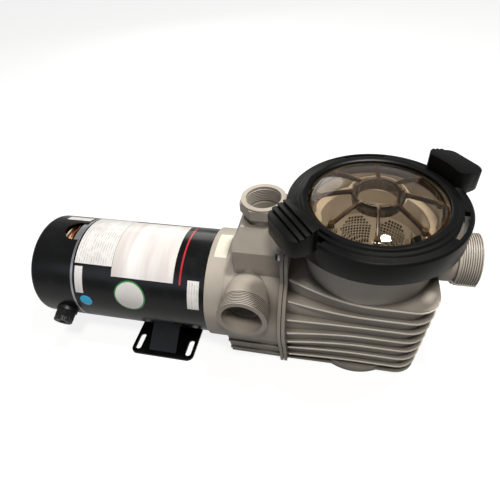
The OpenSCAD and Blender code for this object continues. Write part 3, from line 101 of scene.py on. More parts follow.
def linear(hex_colour: str) -> tuple[float, float, float, float]:
    """Turn an sRGB hex colour to linear light.

    Args:
        hex_colour: Six hex digits after a hash mark.

    Returns:
        Red, green, blue and an alpha of 1.
    """
    parts = [int(hex_colour[i : i + 2], 16) / 255 for i in (1, 3, 5)]
    made = [p / 12.92 if p <= 0.04045 else ((p + 0.055) / 1.055) ** 2.4 for p in parts]
    return (made[0], made[1], made[2], 1.0)


def add_node(
    tree: bpy.types.NodeTree,
    kind: str,
    settings: dict | None = None,
    inputs: dict | None = None,
) -> bpy.types.Node:
    """Add a node with its settings and inputs.

    Args:
        tree: The tree that gets the node.
        kind: Blender's type name of the node.
        settings: Properties of the node, by name.
        inputs: Plain values or output sockets, by input name or number.

    Returns:
        The new node.
    """
    made = tree.nodes.new(kind)
    for key, value in (settings or {}).items():
        setattr(made, key, value)
    for key, value in (inputs or {}).items():
        if isinstance(value, bpy.types.NodeSocket):
            tree.links.new(value, made.inputs[key])
        else:
            made.inputs[key].default_value = value
    return made


def per_mm(size: float) -> float:
    """Return the texture scale that repeats a pattern every so many millimetres."""
    return 1 / (size * MM)


@dataclass(frozen=True)
class Skin:
    """What a finish's noises do to its colour, its gloss and its height.

    Attributes:
        spots: The noise that spots the colour.
        spot_range: Where the second colour begins, where it is full, and its share there.
        second: The second colour, in sRGB.
        gloss: The noise that varies the roughness.
        gloss_range: Where the roughness begins and ends to grow, and its change at both.
        relief: The noise that raises the surface.
        strength: How strong the relief is, from 0 to 1.
        depth_mm: Height of the relief.
    """

    spots: bpy.types.NodeSocket
    spot_range: tuple[float, float, float]
    second: str
    gloss: bpy.types.NodeSocket
    gloss_range: tuple[float, float, float, float]
    relief: bpy.types.NodeSocket
    strength: float
    depth_mm: float


@dataclass(frozen=True)
class Finish:
    """A surface finish, turned to a material on first use.

    Attributes:
        name: The material's name.
        colour: Its main colour, in sRGB.
        roughness: How dull it is, from 0 to 1.
        specular: Strength of its shine, where 0.5 is plain.
    """

    name: str
    colour: str
    roughness: float
    specular: float = 0.5

    def material(self) -> bpy.types.Material:
        """Make the material, or find it if it is made.

        Returns:
            The material.
        """
        found = bpy.data.materials.get(self.name)
        if found is not None:
            return found
        made = bpy.data.materials.new(self.name)
        made.use_nodes = True
        made.diffuse_color = linear(self.colour)
        tree = made.node_tree
        tree.nodes.clear()
        shader = add_node(
            tree,
            "ShaderNodeBsdfPrincipled",
            inputs={
                "Base Color": linear(self.colour),
                "Roughness": self.roughness,
                "Specular IOR Level": self.specular,
            },
        )
        add_node(tree, "ShaderNodeOutputMaterial", inputs={"Surface": shader.outputs[0]})
        self.pattern(tree, shader)
        return made

    def pattern(self, tree: bpy.types.NodeTree, shader: bpy.types.Node) -> None:
        """Add the finish's own pattern to its shader.

        Args:
            tree: The material's nodes.
            shader: Its Principled node.
        """
        raise NotImplementedError

    def wear(self, tree: bpy.types.NodeTree, shader: bpy.types.Node, skin: Skin) -> bpy.types.NodeSocket:
        """Spot the colour, vary the gloss and raise the surface.

        Args:
            tree: The material's nodes.
            shader: Its Principled node.
            skin: The noises and what each of them does.

        Returns:
            The spotted colour.
        """
        begin, full, most = skin.spot_range
        share = add_node(
            tree,
            "ShaderNodeMapRange",
            inputs={"Value": skin.spots, "From Min": begin, "From Max": full, "To Max": most},
        )
        tint = add_node(
            tree,
            "ShaderNodeMix",
            {"data_type": "RGBA"},
            {
                MIX_SHARE: share.outputs[0],
                MIX_FIRST: linear(self.colour),
                MIX_SECOND: linear(skin.second),
            },
        )
        begin, full, fall, rise = skin.gloss_range
        dull = add_node(
            tree,
            "ShaderNodeMapRange",
            inputs={
                "Value": skin.gloss,
                "From Min": begin,
                "From Max": full,
                "To Min": self.roughness + fall,
                "To Max": self.roughness + rise,
            },
        )
        raised = add_node(
            tree,
            "ShaderNodeBump",
            inputs={"Height": skin.relief, "Strength": skin.strength, "Distance": skin.depth_mm * MM},
        )
        tree.links.new(tint.outputs[MIX_RESULT], shader.inputs["Base Color"])
        tree.links.new(dull.outputs[0], shader.inputs["Roughness"])
        tree.links.new(raised.outputs[0], shader.inputs["Normal"])
        return tint.outputs[MIX_RESULT]


@dataclass(frozen=True)
class Moulded(Finish):
    """Injection moulded plastic or rubber, with a fine grain and soft cloudy patches where it cooled.

    Attributes:
        pale: The colour of the paler patches.
        patch_mm: Size of the cloudy patches.
        grain_mm: Size of the grain, drawn about twice as coarse as it is so that it shows.
        grain_depth_mm: Height of the grain.
        ior: Index of refraction.
        corner_shade: The colour of the painted shade in its corners and between its fins.
        corner_shade_mm: How far from a corner the painted shade reaches, or 0 for none.
    """

    pale: str = "#ffffff"
    patch_mm: float = 45.0
    grain_mm: float = 1.2
    grain_depth_mm: float = 0.03
    ior: float = 1.49
    corner_shade: str = "#000000"
    corner_shade_mm: float = 0.0

    def pattern(self, tree: bpy.types.NodeTree, shader: bpy.types.Node) -> None:
        """Cloud the colour and the gloss, raise the grain and paint shade in the corners.

        Args:
            tree: The material's nodes.
            shader: Its Principled node.
        """
        place = add_node(tree, "ShaderNodeTexCoord").outputs["Object"]
        cloud = add_node(
            tree,
            "ShaderNodeTexNoise",
            inputs={"Vector": place, "Scale": per_mm(self.patch_mm), "Detail": 4.0},
        )
        grain = add_node(
            tree,
            "ShaderNodeTexNoise",
            inputs={"Vector": place, "Scale": per_mm(self.grain_mm), "Detail": 2.0},
        )
        skin = Skin(
            spots=cloud.outputs[0],
            spot_range=(0.3, 0.7, 1.0),
            second=self.pale,
            gloss=cloud.outputs[0],
            gloss_range=(0.3, 0.7, -0.05, 0.05),
            relief=grain.outputs[0],
            strength=0.6,
            depth_mm=self.grain_depth_mm,
        )
        shown = self.wear(tree, shader, skin)
        shader.inputs["IOR"].default_value = self.ior
        # Painted shade: the colour darkens where other surfaces are near, in corners and between the fins
        if self.corner_shade_mm:
            corner = add_node(
                tree, "ShaderNodeAmbientOcclusion", {"samples": 8}, {"Distance": self.corner_shade_mm * MM}
            )
            clean = add_node(
                tree,
                "ShaderNodeMapRange",
                inputs={"Value": corner.outputs["AO"], "From Min": 0.3, "From Max": 0.85},
            )
            corner_shaded = add_node(
                tree,
                "ShaderNodeMix",
                {"data_type": "RGBA"},
                {MIX_SHARE: clean.outputs[0], MIX_FIRST: linear(self.corner_shade), MIX_SECOND: shown},
            )
            tree.links.new(corner_shaded.outputs[MIX_RESULT], shader.inputs["Base Color"])


@dataclass(frozen=True)
class Enamelled(Finish):
    """Black enamel sprayed on steel: a glossy skin with orange peel, and a little dust that dulls it.

    Attributes:
        dust: The colour of the dust.
        dust_mm: Size of the patches of dust.
        peel_mm: Width of the orange peel's waves.
        peel_depth_mm: Height of the waves.
    """

    dust: str = "#34353a"
    dust_mm: float = 38.0
    peel_mm: float = 3.5
    peel_depth_mm: float = 0.02

    def pattern(self, tree: bpy.types.NodeTree, shader: bpy.types.Node) -> None:
        """Wave the skin and dull it where dust lies.

        Args:
            tree: The material's nodes.
            shader: Its Principled node.
        """
        place = add_node(tree, "ShaderNodeTexCoord").outputs["Object"]
        peel = add_node(
            tree,
            "ShaderNodeTexNoise",
            inputs={"Vector": place, "Scale": per_mm(self.peel_mm), "Detail": 1.0},
        )
        dust = add_node(
            tree,
            "ShaderNodeTexNoise",
            inputs={"Vector": place, "Scale": per_mm(self.dust_mm), "Detail": 6.0, "Roughness": 0.7},
        )
        skin = Skin(
            spots=dust.outputs[0],
            spot_range=(0.48, 0.8, 0.5),
            second=self.dust,
            gloss=dust.outputs[0],
            gloss_range=(0.4, 0.75, -0.06, 0.12),
            relief=peel.outputs[0],
            strength=0.5,
            depth_mm=self.peel_depth_mm,
        )
        self.wear(tree, shader, skin)


@dataclass(frozen=True)
class Metal(Finish):
    """Bare metal: cast grit, or lines drawn along or round it by grinding, stacking or winding.

    Attributes:
        stretch: How far the grit is drawn out along x, y and z: under 1 draws it into lines.
        grit_mm: Size of the grit, drawn coarser than it is so that it shows.
        grit_depth_mm: Height of the grit.
        stain: The colour of its darker spots.
        spot_mm: Size of those spots.
    """

    stretch: tuple[float, float, float] = (1.0, 1.0, 1.0)
    grit_mm: float = 1.5
    grit_depth_mm: float = 0.03
    stain: str = "#707070"
    spot_mm: float = 12.0

    def pattern(self, tree: bpy.types.NodeTree, shader: bpy.types.Node) -> None:
        """Spot the colour, vary the gloss and raise the grit or the lines.

        Args:
            tree: The material's nodes.
            shader: Its Principled node.
        """
        place = add_node(tree, "ShaderNodeTexCoord").outputs["Object"]
        drawn = add_node(tree, "ShaderNodeMapping", inputs={"Vector": place, "Scale": self.stretch})
        grit = add_node(
            tree,
            "ShaderNodeTexNoise",
            inputs={"Vector": drawn.outputs[0], "Scale": per_mm(self.grit_mm), "Detail": 3.0},
        )
        spots = add_node(
            tree,
            "ShaderNodeTexNoise",
            inputs={"Vector": place, "Scale": per_mm(self.spot_mm), "Detail": 5.0},
        )
        skin = Skin(
            spots=spots.outputs[0],
            spot_range=(0.45, 0.75, 0.6),
            second=self.stain,
            gloss=grit.outputs[0],
            gloss_range=(0.3, 0.7, -0.08, 0.08),
            relief=grit.outputs[0],
            strength=0.7,
            depth_mm=self.grit_depth_mm,
        )
        self.wear(tree, shader, skin)
        shader.inputs["Metallic"].default_value = 1.0


@dataclass(frozen=True)
class ClearMoulding(Finish):
    """Clear tinted polycarbonate: what is below shows through it, bent a little by its flow marks.

    Attributes:
        shade: The colour that lamps have once they are through it.
        ior: Index of refraction, below the real 1.58 so that what is under it stays in its place.
        flow_mm: Size of the flow marks.
        flow_depth_mm: Height of the flow marks.
    """

    shade: str = "#ffffff"
    ior: float = 1.3
    flow_mm: float = 22.0
    flow_depth_mm: float = 0.08

    def pattern(self, tree: bpy.types.NodeTree, shader: bpy.types.Node) -> None:
        """Make it glass that lets lamps through.

        Args:
            tree: The material's nodes.
            shader: Its Principled node.
        """
        place = add_node(tree, "ShaderNodeTexCoord").outputs["Object"]
        flow = add_node(
            tree,
            "ShaderNodeTexNoise",
            inputs={"Vector": place, "Scale": per_mm(self.flow_mm), "Detail": 1.0},
        )
        raised = add_node(
            tree,
            "ShaderNodeBump",
            inputs={"Height": flow.outputs[0], "Strength": 0.4, "Distance": self.flow_depth_mm * MM},
        )
        shader.inputs["IOR"].default_value = self.ior
        shader.inputs["Transmission Weight"].default_value = 1.0
        tree.links.new(raised.outputs[0], shader.inputs["Normal"])
        path = add_node(tree, "ShaderNodeLightPath")
        film = add_node(tree, "ShaderNodeBsdfTransparent", inputs={"Color": linear(self.shade)})
        both = add_node(
            tree,
            "ShaderNodeMixShader",
            inputs={0: path.outputs["Is Shadow Ray"], 1: shader.outputs[0], 2: film.outputs[0]},
        )
        output = next(n for n in tree.nodes if n.type == "OUTPUT_MATERIAL")
        tree.links.new(both.outputs[0], output.inputs["Surface"])


@dataclass(frozen=True)
class PotMoulding(Moulded):
    """The plastic of the wet end, with painted shade that darkens it inside the pot.

    Attributes:
        inside_shade: The colour of the painted shade.
        inside_shade_r_mm: Radius round the pot's axis that the painted shade stays within.
        low_r_mm: The radius that it stays within on the floor.
        taper: How much that radius grows with height, so that it stays inside the wall.
        inside_shade_z_mm: Height that the painted shade reaches.
    """

    inside_shade: str = "#17130e"
    inside_shade_r_mm: float = 69.0
    low_r_mm: float = 38.0
    taper: float = 0.2
    inside_shade_z_mm: float = 200.0

    def pattern(self, tree: bpy.types.NodeTree, shader: bpy.types.Node) -> None:
        """Dress the moulding, then darken it inside the pot with painted shade.

        Args:
            tree: The material's nodes.
            shader: Its Principled node.
        """
        super().pattern(tree, shader)
        clean = shader.inputs["Base Color"].links[0].from_socket
        place = add_node(tree, "ShaderNodeTexCoord").outputs["Object"]
        x, y, z = add_node(tree, "ShaderNodeSeparateXYZ", inputs={0: place}).outputs
        flat = add_node(tree, "ShaderNodeCombineXYZ", inputs={0: x, 1: y}).outputs[0]
        reach = add_node(tree, "ShaderNodeVectorMath", {"operation": "LENGTH"}, {0: flat}).outputs["Value"]

        # Each sum takes numbers, or by name what is known or summed before it
        known = {"reach": reach, "z": z}
        for name, operation, *terms in (
            ("cone", "MULTIPLY_ADD", "z", self.taper, self.low_r_mm * MM),
            ("wall", "MINIMUM", "cone", self.inside_shade_r_mm * MM),
            ("within", "LESS_THAN", "reach", "wall"),
            ("low", "LESS_THAN", "z", self.inside_shade_z_mm * MM),
            ("inside", "MULTIPLY", "within", "low"),
        ):
            inputs = {i: known.get(term, term) for i, term in enumerate(terms)}
            known[name] = add_node(tree, "ShaderNodeMath", {"operation": operation}, inputs).outputs[0]
        # Painted shade inside the pot, behind the basket's holes
        shaded_inside = add_node(
            tree,
            "ShaderNodeMix",
            {"data_type": "RGBA"},
            {MIX_SHARE: known["inside"], MIX_FIRST: clean, MIX_SECOND: linear(self.inside_shade)},
        )
        tree.links.new(shaded_inside.outputs[MIX_RESULT], shader.inputs["Base Color"])


@dataclass(frozen=True)
class Printed(Finish):
    """Paper or film under a thin clear coat: plain, or with rows of dashes that hold no letters.

    Attributes:
        ink: The colour of its rows, of its faint smudges and of its painted shade bands.
        row_mm: Height of a row, or 0 for a plain sheet.
        dash_mm: Length of the dashes that a row is broken into.
        smudge_and_shade: How strong the smudges and painted shade bands are, from 0 to 1.
        smudge_and_shade_mm: Size of the smudges and shade bands.
        stretch: How far they are drawn out along x, y and z: under 1 draws them into bands.
    """

    ink: str = "#c9c4bd"
    row_mm: float = 0.0
    dash_mm: float = 9.0
    smudge_and_shade: float = 0.5
    smudge_and_shade_mm: float = 26.0
    stretch: tuple[float, float, float] = (1.0, 1.0, 1.0)

    def pattern(self, tree: bpy.types.NodeTree, shader: bpy.types.Node) -> None:
        """Lay the smudges and painted shade on the sheet, and break its rows into dashes along its own map.

        Args:
            tree: The material's nodes.
            shader: Its Principled node.
        """
        place = add_node(tree, "ShaderNodeTexCoord")
        drawn = add_node(
            tree, "ShaderNodeMapping", inputs={"Vector": place.outputs["Object"], "Scale": self.stretch}
        )
        # Smudges, and on the creased sheet painted shade bands
        smudge_and_shade = add_node(
            tree,
            "ShaderNodeTexNoise",
            inputs={"Vector": drawn.outputs[0], "Scale": per_mm(self.smudge_and_shade_mm), "Detail": 3.0},
        )
        share = add_node(
            tree,
            "ShaderNodeMapRange",
            inputs={"Value": smudge_and_shade.outputs[0], "From Min": 0.42, "From Max": 0.75, "To Max": self.smudge_and_shade},
        )
        tint = add_node(
            tree,
            "ShaderNodeMix",
            {"data_type": "RGBA"},
            {
                MIX_SHARE: share.outputs[0],
                MIX_FIRST: linear(self.colour),
                MIX_SECOND: linear(self.ink),
            },
        )
        shown = tint.outputs[MIX_RESULT]
        if self.row_mm:
            rows = add_node(
                tree,
                "ShaderNodeTexWave",
                {"wave_type": "BANDS", "bands_direction": "X", "wave_profile": "SIN"},
                {
                    "Vector": place.outputs["UV"],
                    "Scale": per_mm(self.row_mm) * WAVE_LENGTH,
                    "Distortion": 1.2,
                    "Detail": 3.0,
                    "Detail Scale": 4.0,
                },
            )
            line = add_node(
                tree,
                "ShaderNodeMapRange",
                inputs={"Value": rows.outputs[0], "From Min": 0.8, "From Max": 0.97, "To Max": 0.8},
            )
            gaps = add_node(
                tree,
                "ShaderNodeTexNoise",
                inputs={"Vector": place.outputs["UV"], "Scale": per_mm(self.dash_mm), "Detail": 2.0},
            )
            dashes = add_node(
                tree,
                "ShaderNodeMapRange",
                inputs={
                    "Value": gaps.outputs[0],
                    "From Min": 0.42,
                    "From Max": 0.56,
                    "To Max": line.outputs[0],
                },
            )
            ruled = add_node(
                tree,
                "ShaderNodeMix",
                {"data_type": "RGBA"},
                {MIX_SHARE: dashes.outputs[0], MIX_FIRST: shown, MIX_SECOND: linear(self.ink)},
            )
            shown = ruled.outputs[MIX_RESULT]
        tree.links.new(shown, shader.inputs["Base Color"])
        shader.inputs["Coat Weight"].default_value = 0.35
        shader.inputs["Coat Roughness"].default_value = 0.15


# Glass-filled polypropylene, moulded: a dull, slightly warm grey with paler clouds, with painted shade
# between the fins and inside the pot
WET_END = PotMoulding(
    "moulded_grey_polypropylene", "#a39b90", 0.45, pale="#b3aba0", corner_shade="#57534c", corner_shade_mm=16.0
)
# The same plastic along the fins' edges, painted paler as a highlight, and a little smoother
WET_EDGE_HIGHLIGHT = Moulded("highlit_grey_polypropylene", "#d8d1c6", 0.35, pale="#e4ded4")
# Black acetal, moulded in a polished tool: a satin gloss that shows the lamps along its edges
RING_BLACK = Moulded(
    "polished_black_acetal", "#050505", 0.33, 0.17, pale="#090909", grain_mm=2.0, grain_depth_mm=0.01
)
# Black nylon, moulded in a plain tool: duller than the ring
NYLON_BLACK = Moulded("moulded_black_nylon", "#0c0c0d", 0.42, 0.4, pale="#151517")
# Sides of the basket's small holes, painted dark: painted shade inside the holes
BASKET_HOLE_SHADE = Moulded("hole_shaded_tan_polypropylene", "#3b3127", 0.6, pale="#473c30", patch_mm=30.0)
# Natural polypropylene, moulded thin: pale and slightly waxy
BASKET_TAN = Moulded("moulded_tan_polypropylene", "#c0b6a6", 0.5, pale="#cec6b8", patch_mm=30.0)
# The same plastic painted paler on the thin webs of the mesh, as painted light shining through them
BASKET_WEB_LIT = Moulded("lit_tan_polypropylene", "#efe8db", 0.45, pale="#f6f1e7", patch_mm=30.0)
# Natural nylon, moulded: milky and dull, for the fan
NYLON_NATURAL = Moulded("moulded_natural_nylon", "#cbc6b8", 0.5, pale="#d8d4c8")
# Phenolic, pressed: brown and slightly mottled
PHENOLIC = Moulded("pressed_brown_phenolic", "#5b3a28", 0.5, pale="#6d4832", patch_mm=12.0)
# Nitrile rubber, moulded: dull black
NITRILE = Moulded("moulded_nitrile_rubber", "#131313", 0.75, pale="#1d1d1d", grain_mm=0.8)
# Alumina, ground: white and smooth
ALUMINA = Moulded("ground_alumina", "#e6e2da", 0.3, pale="#eeebe4", grain_depth_mm=0.005, ior=1.76)
# Enamel sprayed on rolled and pressed steel: deep black and glossy, dulled where dust lies
ENAMEL = Enamelled("black_enamel_on_steel", "#060707", 0.25, 0.35, dust="#1c1d20")
# Aluminium, die cast and turned at the rim: a pale satin line between the black parts
ALUMINIUM = Metal("die_cast_aluminium", "#c4c6c9", 0.36, grit_mm=1.2, stain="#8d8e90")
# Zinc plated steel of the screws and bolts: bright, with faint spots
ZINC = Metal("zinc_plated_steel", "#b9bcc2", 0.3, grit_mm=0.8, grit_depth_mm=0.01, stain="#8a8c92")
# Stainless steel, ground round the shaft: fine rings across its length
GROUND = Metal(
    "ground_stainless_steel", "#c0c2c5", 0.25, stretch=(1.0, 0.05, 0.05), grit_mm=0.6, stain="#9a9c9f"
)
# Electrical steel, stacked: grey lines across the shaft, drawn about twice as thick as the sheets are
STACKED = Metal(
    "stacked_electrical_steel", "#8f9297", 0.45, stretch=(1.0, 0.02, 0.02), grit_mm=1.0, stain="#5f5550"
)
# Varnished copper wire, wound round the core's ends: warm and shiny, lined by its strands
COPPER = Metal(
    "varnished_copper_wire", "#b5703f", 0.33, stretch=(1.0, 0.06, 0.06), grit_mm=1.4, stain="#7a4322"
)
# Varnished glass sleeving on the winding leads: pale and dull beside the copper
SLEEVING = Moulded("varnished_glass_sleeving", "#b3a898", 0.55, pale="#c2b8a8", patch_mm=8.0)
# Smoky polycarbonate of the lid: clear and brown. Its ribs look darker, because light goes along them
LENS = ClearMoulding("smoky_polycarbonate", "#bfb9b0", 0.0, shade="#e2ddd5", flow_depth_mm=0.03)
LENS_DEEP = Moulded("smoky_polycarbonate_ribs", "#3e2b17", 0.25, 0.4, pale="#4b3620", grain_depth_mm=0.0)
# Coated white paper of the small labels: bright and a little soiled
PAPER = Printed("coated_white_paper", "#eceae8", 0.42, ink="#c9c1b8", smudge_and_shade=0.4)
# The same paper, yellowed on the bracket
PAPER_AGED = Printed("aged_white_paper", "#e0ddcd", 0.5, ink="#c6c1b0", smudge_and_shade=0.4)
# White paper with soft grey bands round the motor: painted shade of loose creases
CREASE_SHADED = Printed(
    "crease_shaded_white_paper", "#f6f5f5", 0.42, ink="#c4bab2", smudge_and_shade=0.9, stretch=(1.0, 0.12, 0.12)
)
# White paper with broken grey rows, which can't be read
RULED = Printed(
    "ruled_white_paper",
    "#ebe9e7",
    0.42,
    ink="#8f8b88",
    row_mm=3.4,
    smudge_and_shade=0.25,
    stretch=(1.0, 0.2, 0.2),
)
# Vinyl of the stripe and of the round stickers: even, strong colours under a satin coat
VINYL_RED = Printed("red_vinyl", "#b81e2b", 0.35, ink="#9a1823")
VINYL_BLUE = Printed("blue_vinyl", "#05c8fa", 0.35, ink="#0cb0de")
VINYL_GREEN = Printed("green_vinyl", "#2f8a3f", 0.35, ink="#277534")


def as_object(name: str, mesh: bpy.types.Mesh) -> bpy.types.Object:
    """Put a mesh in the scene as an object at the origin.

    Args:
        name: The object's name.
        mesh: Its mesh, already in place.

    Returns:
        The new object.
    """
    made = bpy.data.objects.new(name, mesh)
    bpy.context.scene.collection.objects.link(made)
    return made


def smoothed(mesh: bpy.types.Mesh, sharp_deg: float = SHARP_DEG) -> bpy.types.Mesh:
    """Smooth a mesh, apart from its sharp corners.

    Args:
        mesh: The mesh.
        sharp_deg: Corners sharper than this stay sharp.

    Returns:
        The same mesh.
    """
    mesh.shade_smooth()
    mesh.set_sharp_from_angle(angle=math.radians(sharp_deg))
    return mesh


def from_bmesh(name: str, bm: bmesh.types.BMesh, smooth_deg: float = CREASE_DEG) -> bpy.types.Mesh:
    """Turn a bmesh to a mesh with smooth faces and sharp corners.

    Args:
        name: The mesh's name.
        bm: The bmesh, which is freed.
        smooth_deg: Corners sharper than this stay sharp.

    Returns:
        The new mesh.
    """
    made = bpy.data.meshes.new(name)
    bm.to_mesh(made)
    bm.free()
    return smoothed(made, smooth_deg)


def welded(node: str, flatten: bool = False) -> bmesh.types.BMesh:
    """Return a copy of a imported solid's mesh with its loose triangles joined.

    Args:
        node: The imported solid.
        flatten: Whether flat triangles are merged to larger faces.

    Returns:
        The copy, which the caller frees.
    """
    bm = bmesh.new()
    bm.from_mesh(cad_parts[node].data)
    bmesh.ops.remove_doubles(bm, verts=bm.verts, dist=WELD)
    if flatten:
        flat = math.radians(FLAT_DEG)
        bmesh.ops.dissolve_limit(bm, angle_limit=flat, verts=bm.verts, edges=bm.edges)
    return bm


def applied(obj: bpy.types.Object) -> bpy.types.Object:
    """Turn an object's modifiers into a plain mesh.

    Args:
        obj: The object, whose modifiers are removed.

    Returns:
        The same object.
    """
    graph = bpy.context.evaluated_depsgraph_get()
    plain = bpy.data.meshes.new_from_object(obj.evaluated_get(graph))
    obj.modifiers.clear()
    obj.data = plain
    return obj


def grown(name: str, tree: bpy.types.NodeTree, sizes: dict) -> bpy.types.Mesh:
    """Grow a plain mesh with Geometry Nodes.

    Args:
        name: The mesh's name.
        tree: The nodes.
        sizes: A value for each of the tree's inputs, by name.

    Returns:
        The mesh, with no modifier left.
    """
    made = as_object(name, bpy.data.meshes.new(name))
    nodes = made.modifiers.new("Growth", "NODES")
    nodes.node_group = tree
    for item in tree.interface.items_tree:
        if item.in_out == "INPUT":
            nodes[item.identifier] = sizes[item.name]
    mesh = applied(made).data
    bpy.data.objects.remove(made)
    return mesh


def new_tree(name: str, sizes: dict[str, str]) -> tuple[bpy.types.NodeTree, bpy.types.NodeOutputs]:
    """Start a Geometry Nodes tree.

    Args:
        name: The tree's name.
        sizes: The socket type of each input, by name.

    Returns:
        The tree, and the outputs of its input node.
    """
    tree = bpy.data.node_groups.new(name, "GeometryNodeTree")
    for key, kind in sizes.items():
        tree.interface.new_socket(key, in_out="INPUT", socket_type=kind)
    tree.interface.new_socket("Geometry", in_out="OUTPUT", socket_type="NodeSocketGeometry")
    return tree, add_node(tree, "NodeGroupInput").outputs


def close_tree(tree: bpy.types.NodeTree, shape: bpy.types.NodeSocket, finish: bpy.types.NodeSocket) -> None:
    """End a Geometry Nodes tree with a real mesh that has a material.

    Args:
        tree: The tree.
        shape: What it grew.
        finish: The input that holds the material.
    """
    real = add_node(tree, "GeometryNodeRealizeInstances", inputs={0: shape})
    dressed = add_node(
        tree, "GeometryNodeSetMaterial", inputs={"Geometry": real.outputs[0], "Material": finish}
    )
    add_node(tree, "NodeGroupOutput", inputs={0: dressed.outputs[0]})


def stud_tree() -> bpy.types.NodeTree:
    """Build the nodes that stand round studs in a circle about the z axis.

    Returns:
        A tree with inputs for the circle and the studs.
    """
    tree, size = new_tree(
        "studs_in_a_circle",
        {
            "Count": "NodeSocketInt",
            "Circle radius": "NodeSocketFloat",
            "Stud radius": "NodeSocketFloat",
            "Stud height": "NodeSocketFloat",
            "Finish": "NodeSocketMaterial",
        },
    )
    ring = add_node(
        tree, "GeometryNodeMeshCircle", inputs={"Vertices": size["Count"], "Radius": size["Circle radius"]}
    )
    stud = add_node(
        tree,
        "GeometryNodeMeshCylinder",
        inputs={"Vertices": STUD_SIDES, "Radius": size["Stud radius"], "Depth": size["Stud height"]},
    )
    stood = add_node(
        tree, "GeometryNodeInstanceOnPoints", inputs={"Points": ring.outputs[0], "Instance": stud.outputs[0]}
    )
    close_tree(tree, stood.outputs[0], size["Finish"])
    return tree


def thread_tree() -> bpy.types.NodeTree:
    """Build the nodes that lay round wires one above another along the z axis.

    Returns:
        A tree with inputs for the wires and their distance.
    """
    tree, size = new_tree(
        "wires_along_an_axis",
        {
            "Count": "NodeSocketInt",
            "Pitch": "NodeSocketFloat",
            "Radius": "NodeSocketFloat",
            "Wire radius": "NodeSocketFloat",
            "Finish": "NodeSocketMaterial",
        },
    )
    step = add_node(tree, "ShaderNodeCombineXYZ", inputs={2: size["Pitch"]})
    places = add_node(
        tree,
        "GeometryNodeMeshLine",
        {"mode": "OFFSET"},
        {"Count": size["Count"], "Offset": step.outputs[0]},
    )
    loop, section = (
        add_node(tree, "GeometryNodeCurvePrimitiveCircle", inputs={"Resolution": sides, "Radius": size[key]})
        for sides, key in ((TURN_SIDES, "Radius"), (CREST_SIDES, "Wire radius"))
    )
    wire = add_node(
        tree,
        "GeometryNodeCurveToMesh",
        inputs={"Curve": loop.outputs[0], "Profile Curve": section.outputs[0]},
    )
    laid = add_node(
        tree,
        "GeometryNodeInstanceOnPoints",
        inputs={"Points": places.outputs[0], "Instance": wire.outputs[0]},
    )
    close_tree(tree, laid.outputs[0], size["Finish"])
    return tree


def tube(
    points: list[tuple[float, float, float]], radius: float, run: Run = Run.SMOOTH
) -> bpy.types.Mesh:
    """Return a round wire along a line.

    Args:
        points: Points of the line, in millimetres.
        radius: Radius of the wire.
        run: How it runs through the points.

    Returns:
        The closed mesh.
    """
    line = bpy.data.curves.new("wire", "CURVE")
    line.dimensions = "3D"
    line.bevel_depth = radius * MM
    line.bevel_resolution = 3
    line.use_fill_caps = True
    spline = line.splines.new(run.value)
    spline.points.add(len(points) - 1)
    for knot, place in zip(spline.points, points):
        knot.co = (place[0] * MM, place[1] * MM, place[2] * MM, 1.0)
    spline.use_endpoint_u = True
    made = bpy.data.objects.new("wire", line)
    bpy.context.scene.collection.objects.link(made)
    mesh = bpy.data.meshes.new_from_object(made.evaluated_get(bpy.context.evaluated_depsgraph_get()))
    bpy.data.objects.remove(made)
    bpy.data.curves.remove(line)
    return mesh


@dataclass
class SubAssembly:
    """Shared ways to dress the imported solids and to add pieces."""

    def dress(self, finish: Finish, *nodes: str) -> None:
        """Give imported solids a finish.

        Args:
            finish: The finish.
            nodes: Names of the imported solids.
        """
        for name in nodes:
            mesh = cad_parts[name].data
            mesh.materials.clear()
            mesh.materials.append(finish.material())
            log.info("%s: %s", name, finish.name)

    def add(
        self,
        name: str,
        mesh: bpy.types.Mesh,
        body: Body,
        finish: Finish,
        slot: str | None = None,
        others: tuple[Finish, ...] = (),
    ) -> bpy.types.Object:
        """Add a piece that rides on a body.

        Args:
            name: The piece's name.
            mesh: Its mesh, in place.
            body: The body it rides on.
            finish: Its finish.
            slot: The record's material slot, if it has one; not used.
            others: Finishes of the faces whose material index is 1 or more.

        Returns:
            The new piece.
        """
        made = as_object(name, mesh)
        indices = [face.material_index if others else 0 for face in mesh.polygons]
        mesh.materials.clear()
        for each in (finish, *others):
            mesh.materials.append(each.material())
        mesh.polygons.foreach_set("material_index", indices)
        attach(made, body.value)
        log.info("%s: %s, on %s", name, finish.name, body.value)
        return made

    def rounded(
        self, node: str, body: Body, finish: Finish, slot: str, edge_mm: float
    ) -> bpy.types.Object:
        """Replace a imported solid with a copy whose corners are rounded.

        Args:
            node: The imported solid.
            body: The body it rides on.
            finish: The copy's finish.
            slot: The record's material slot.
            edge_mm: Width of the rounding.

        Returns:
            The copy.
        """
        name = node + "_rounded"
        plain = as_object(name, from_bmesh(name, welded(node, flatten=True)))
        soft = plain.modifiers.new("Rounding", "BEVEL")
        soft.width = edge_mm * MM
        soft.segments = 2
        soft.limit_method = "ANGLE"
        soft.angle_limit = math.radians(ROUND_DEG)
        soft.use_clamp_overlap = True
        mesh = smoothed(applied(plain).data)
        bpy.data.objects.remove(plain)
        made = self.add(name, mesh, body, finish, slot)
        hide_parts(node)
        log.info("%s: rounded by %s mm", node, edge_mm)
        return made


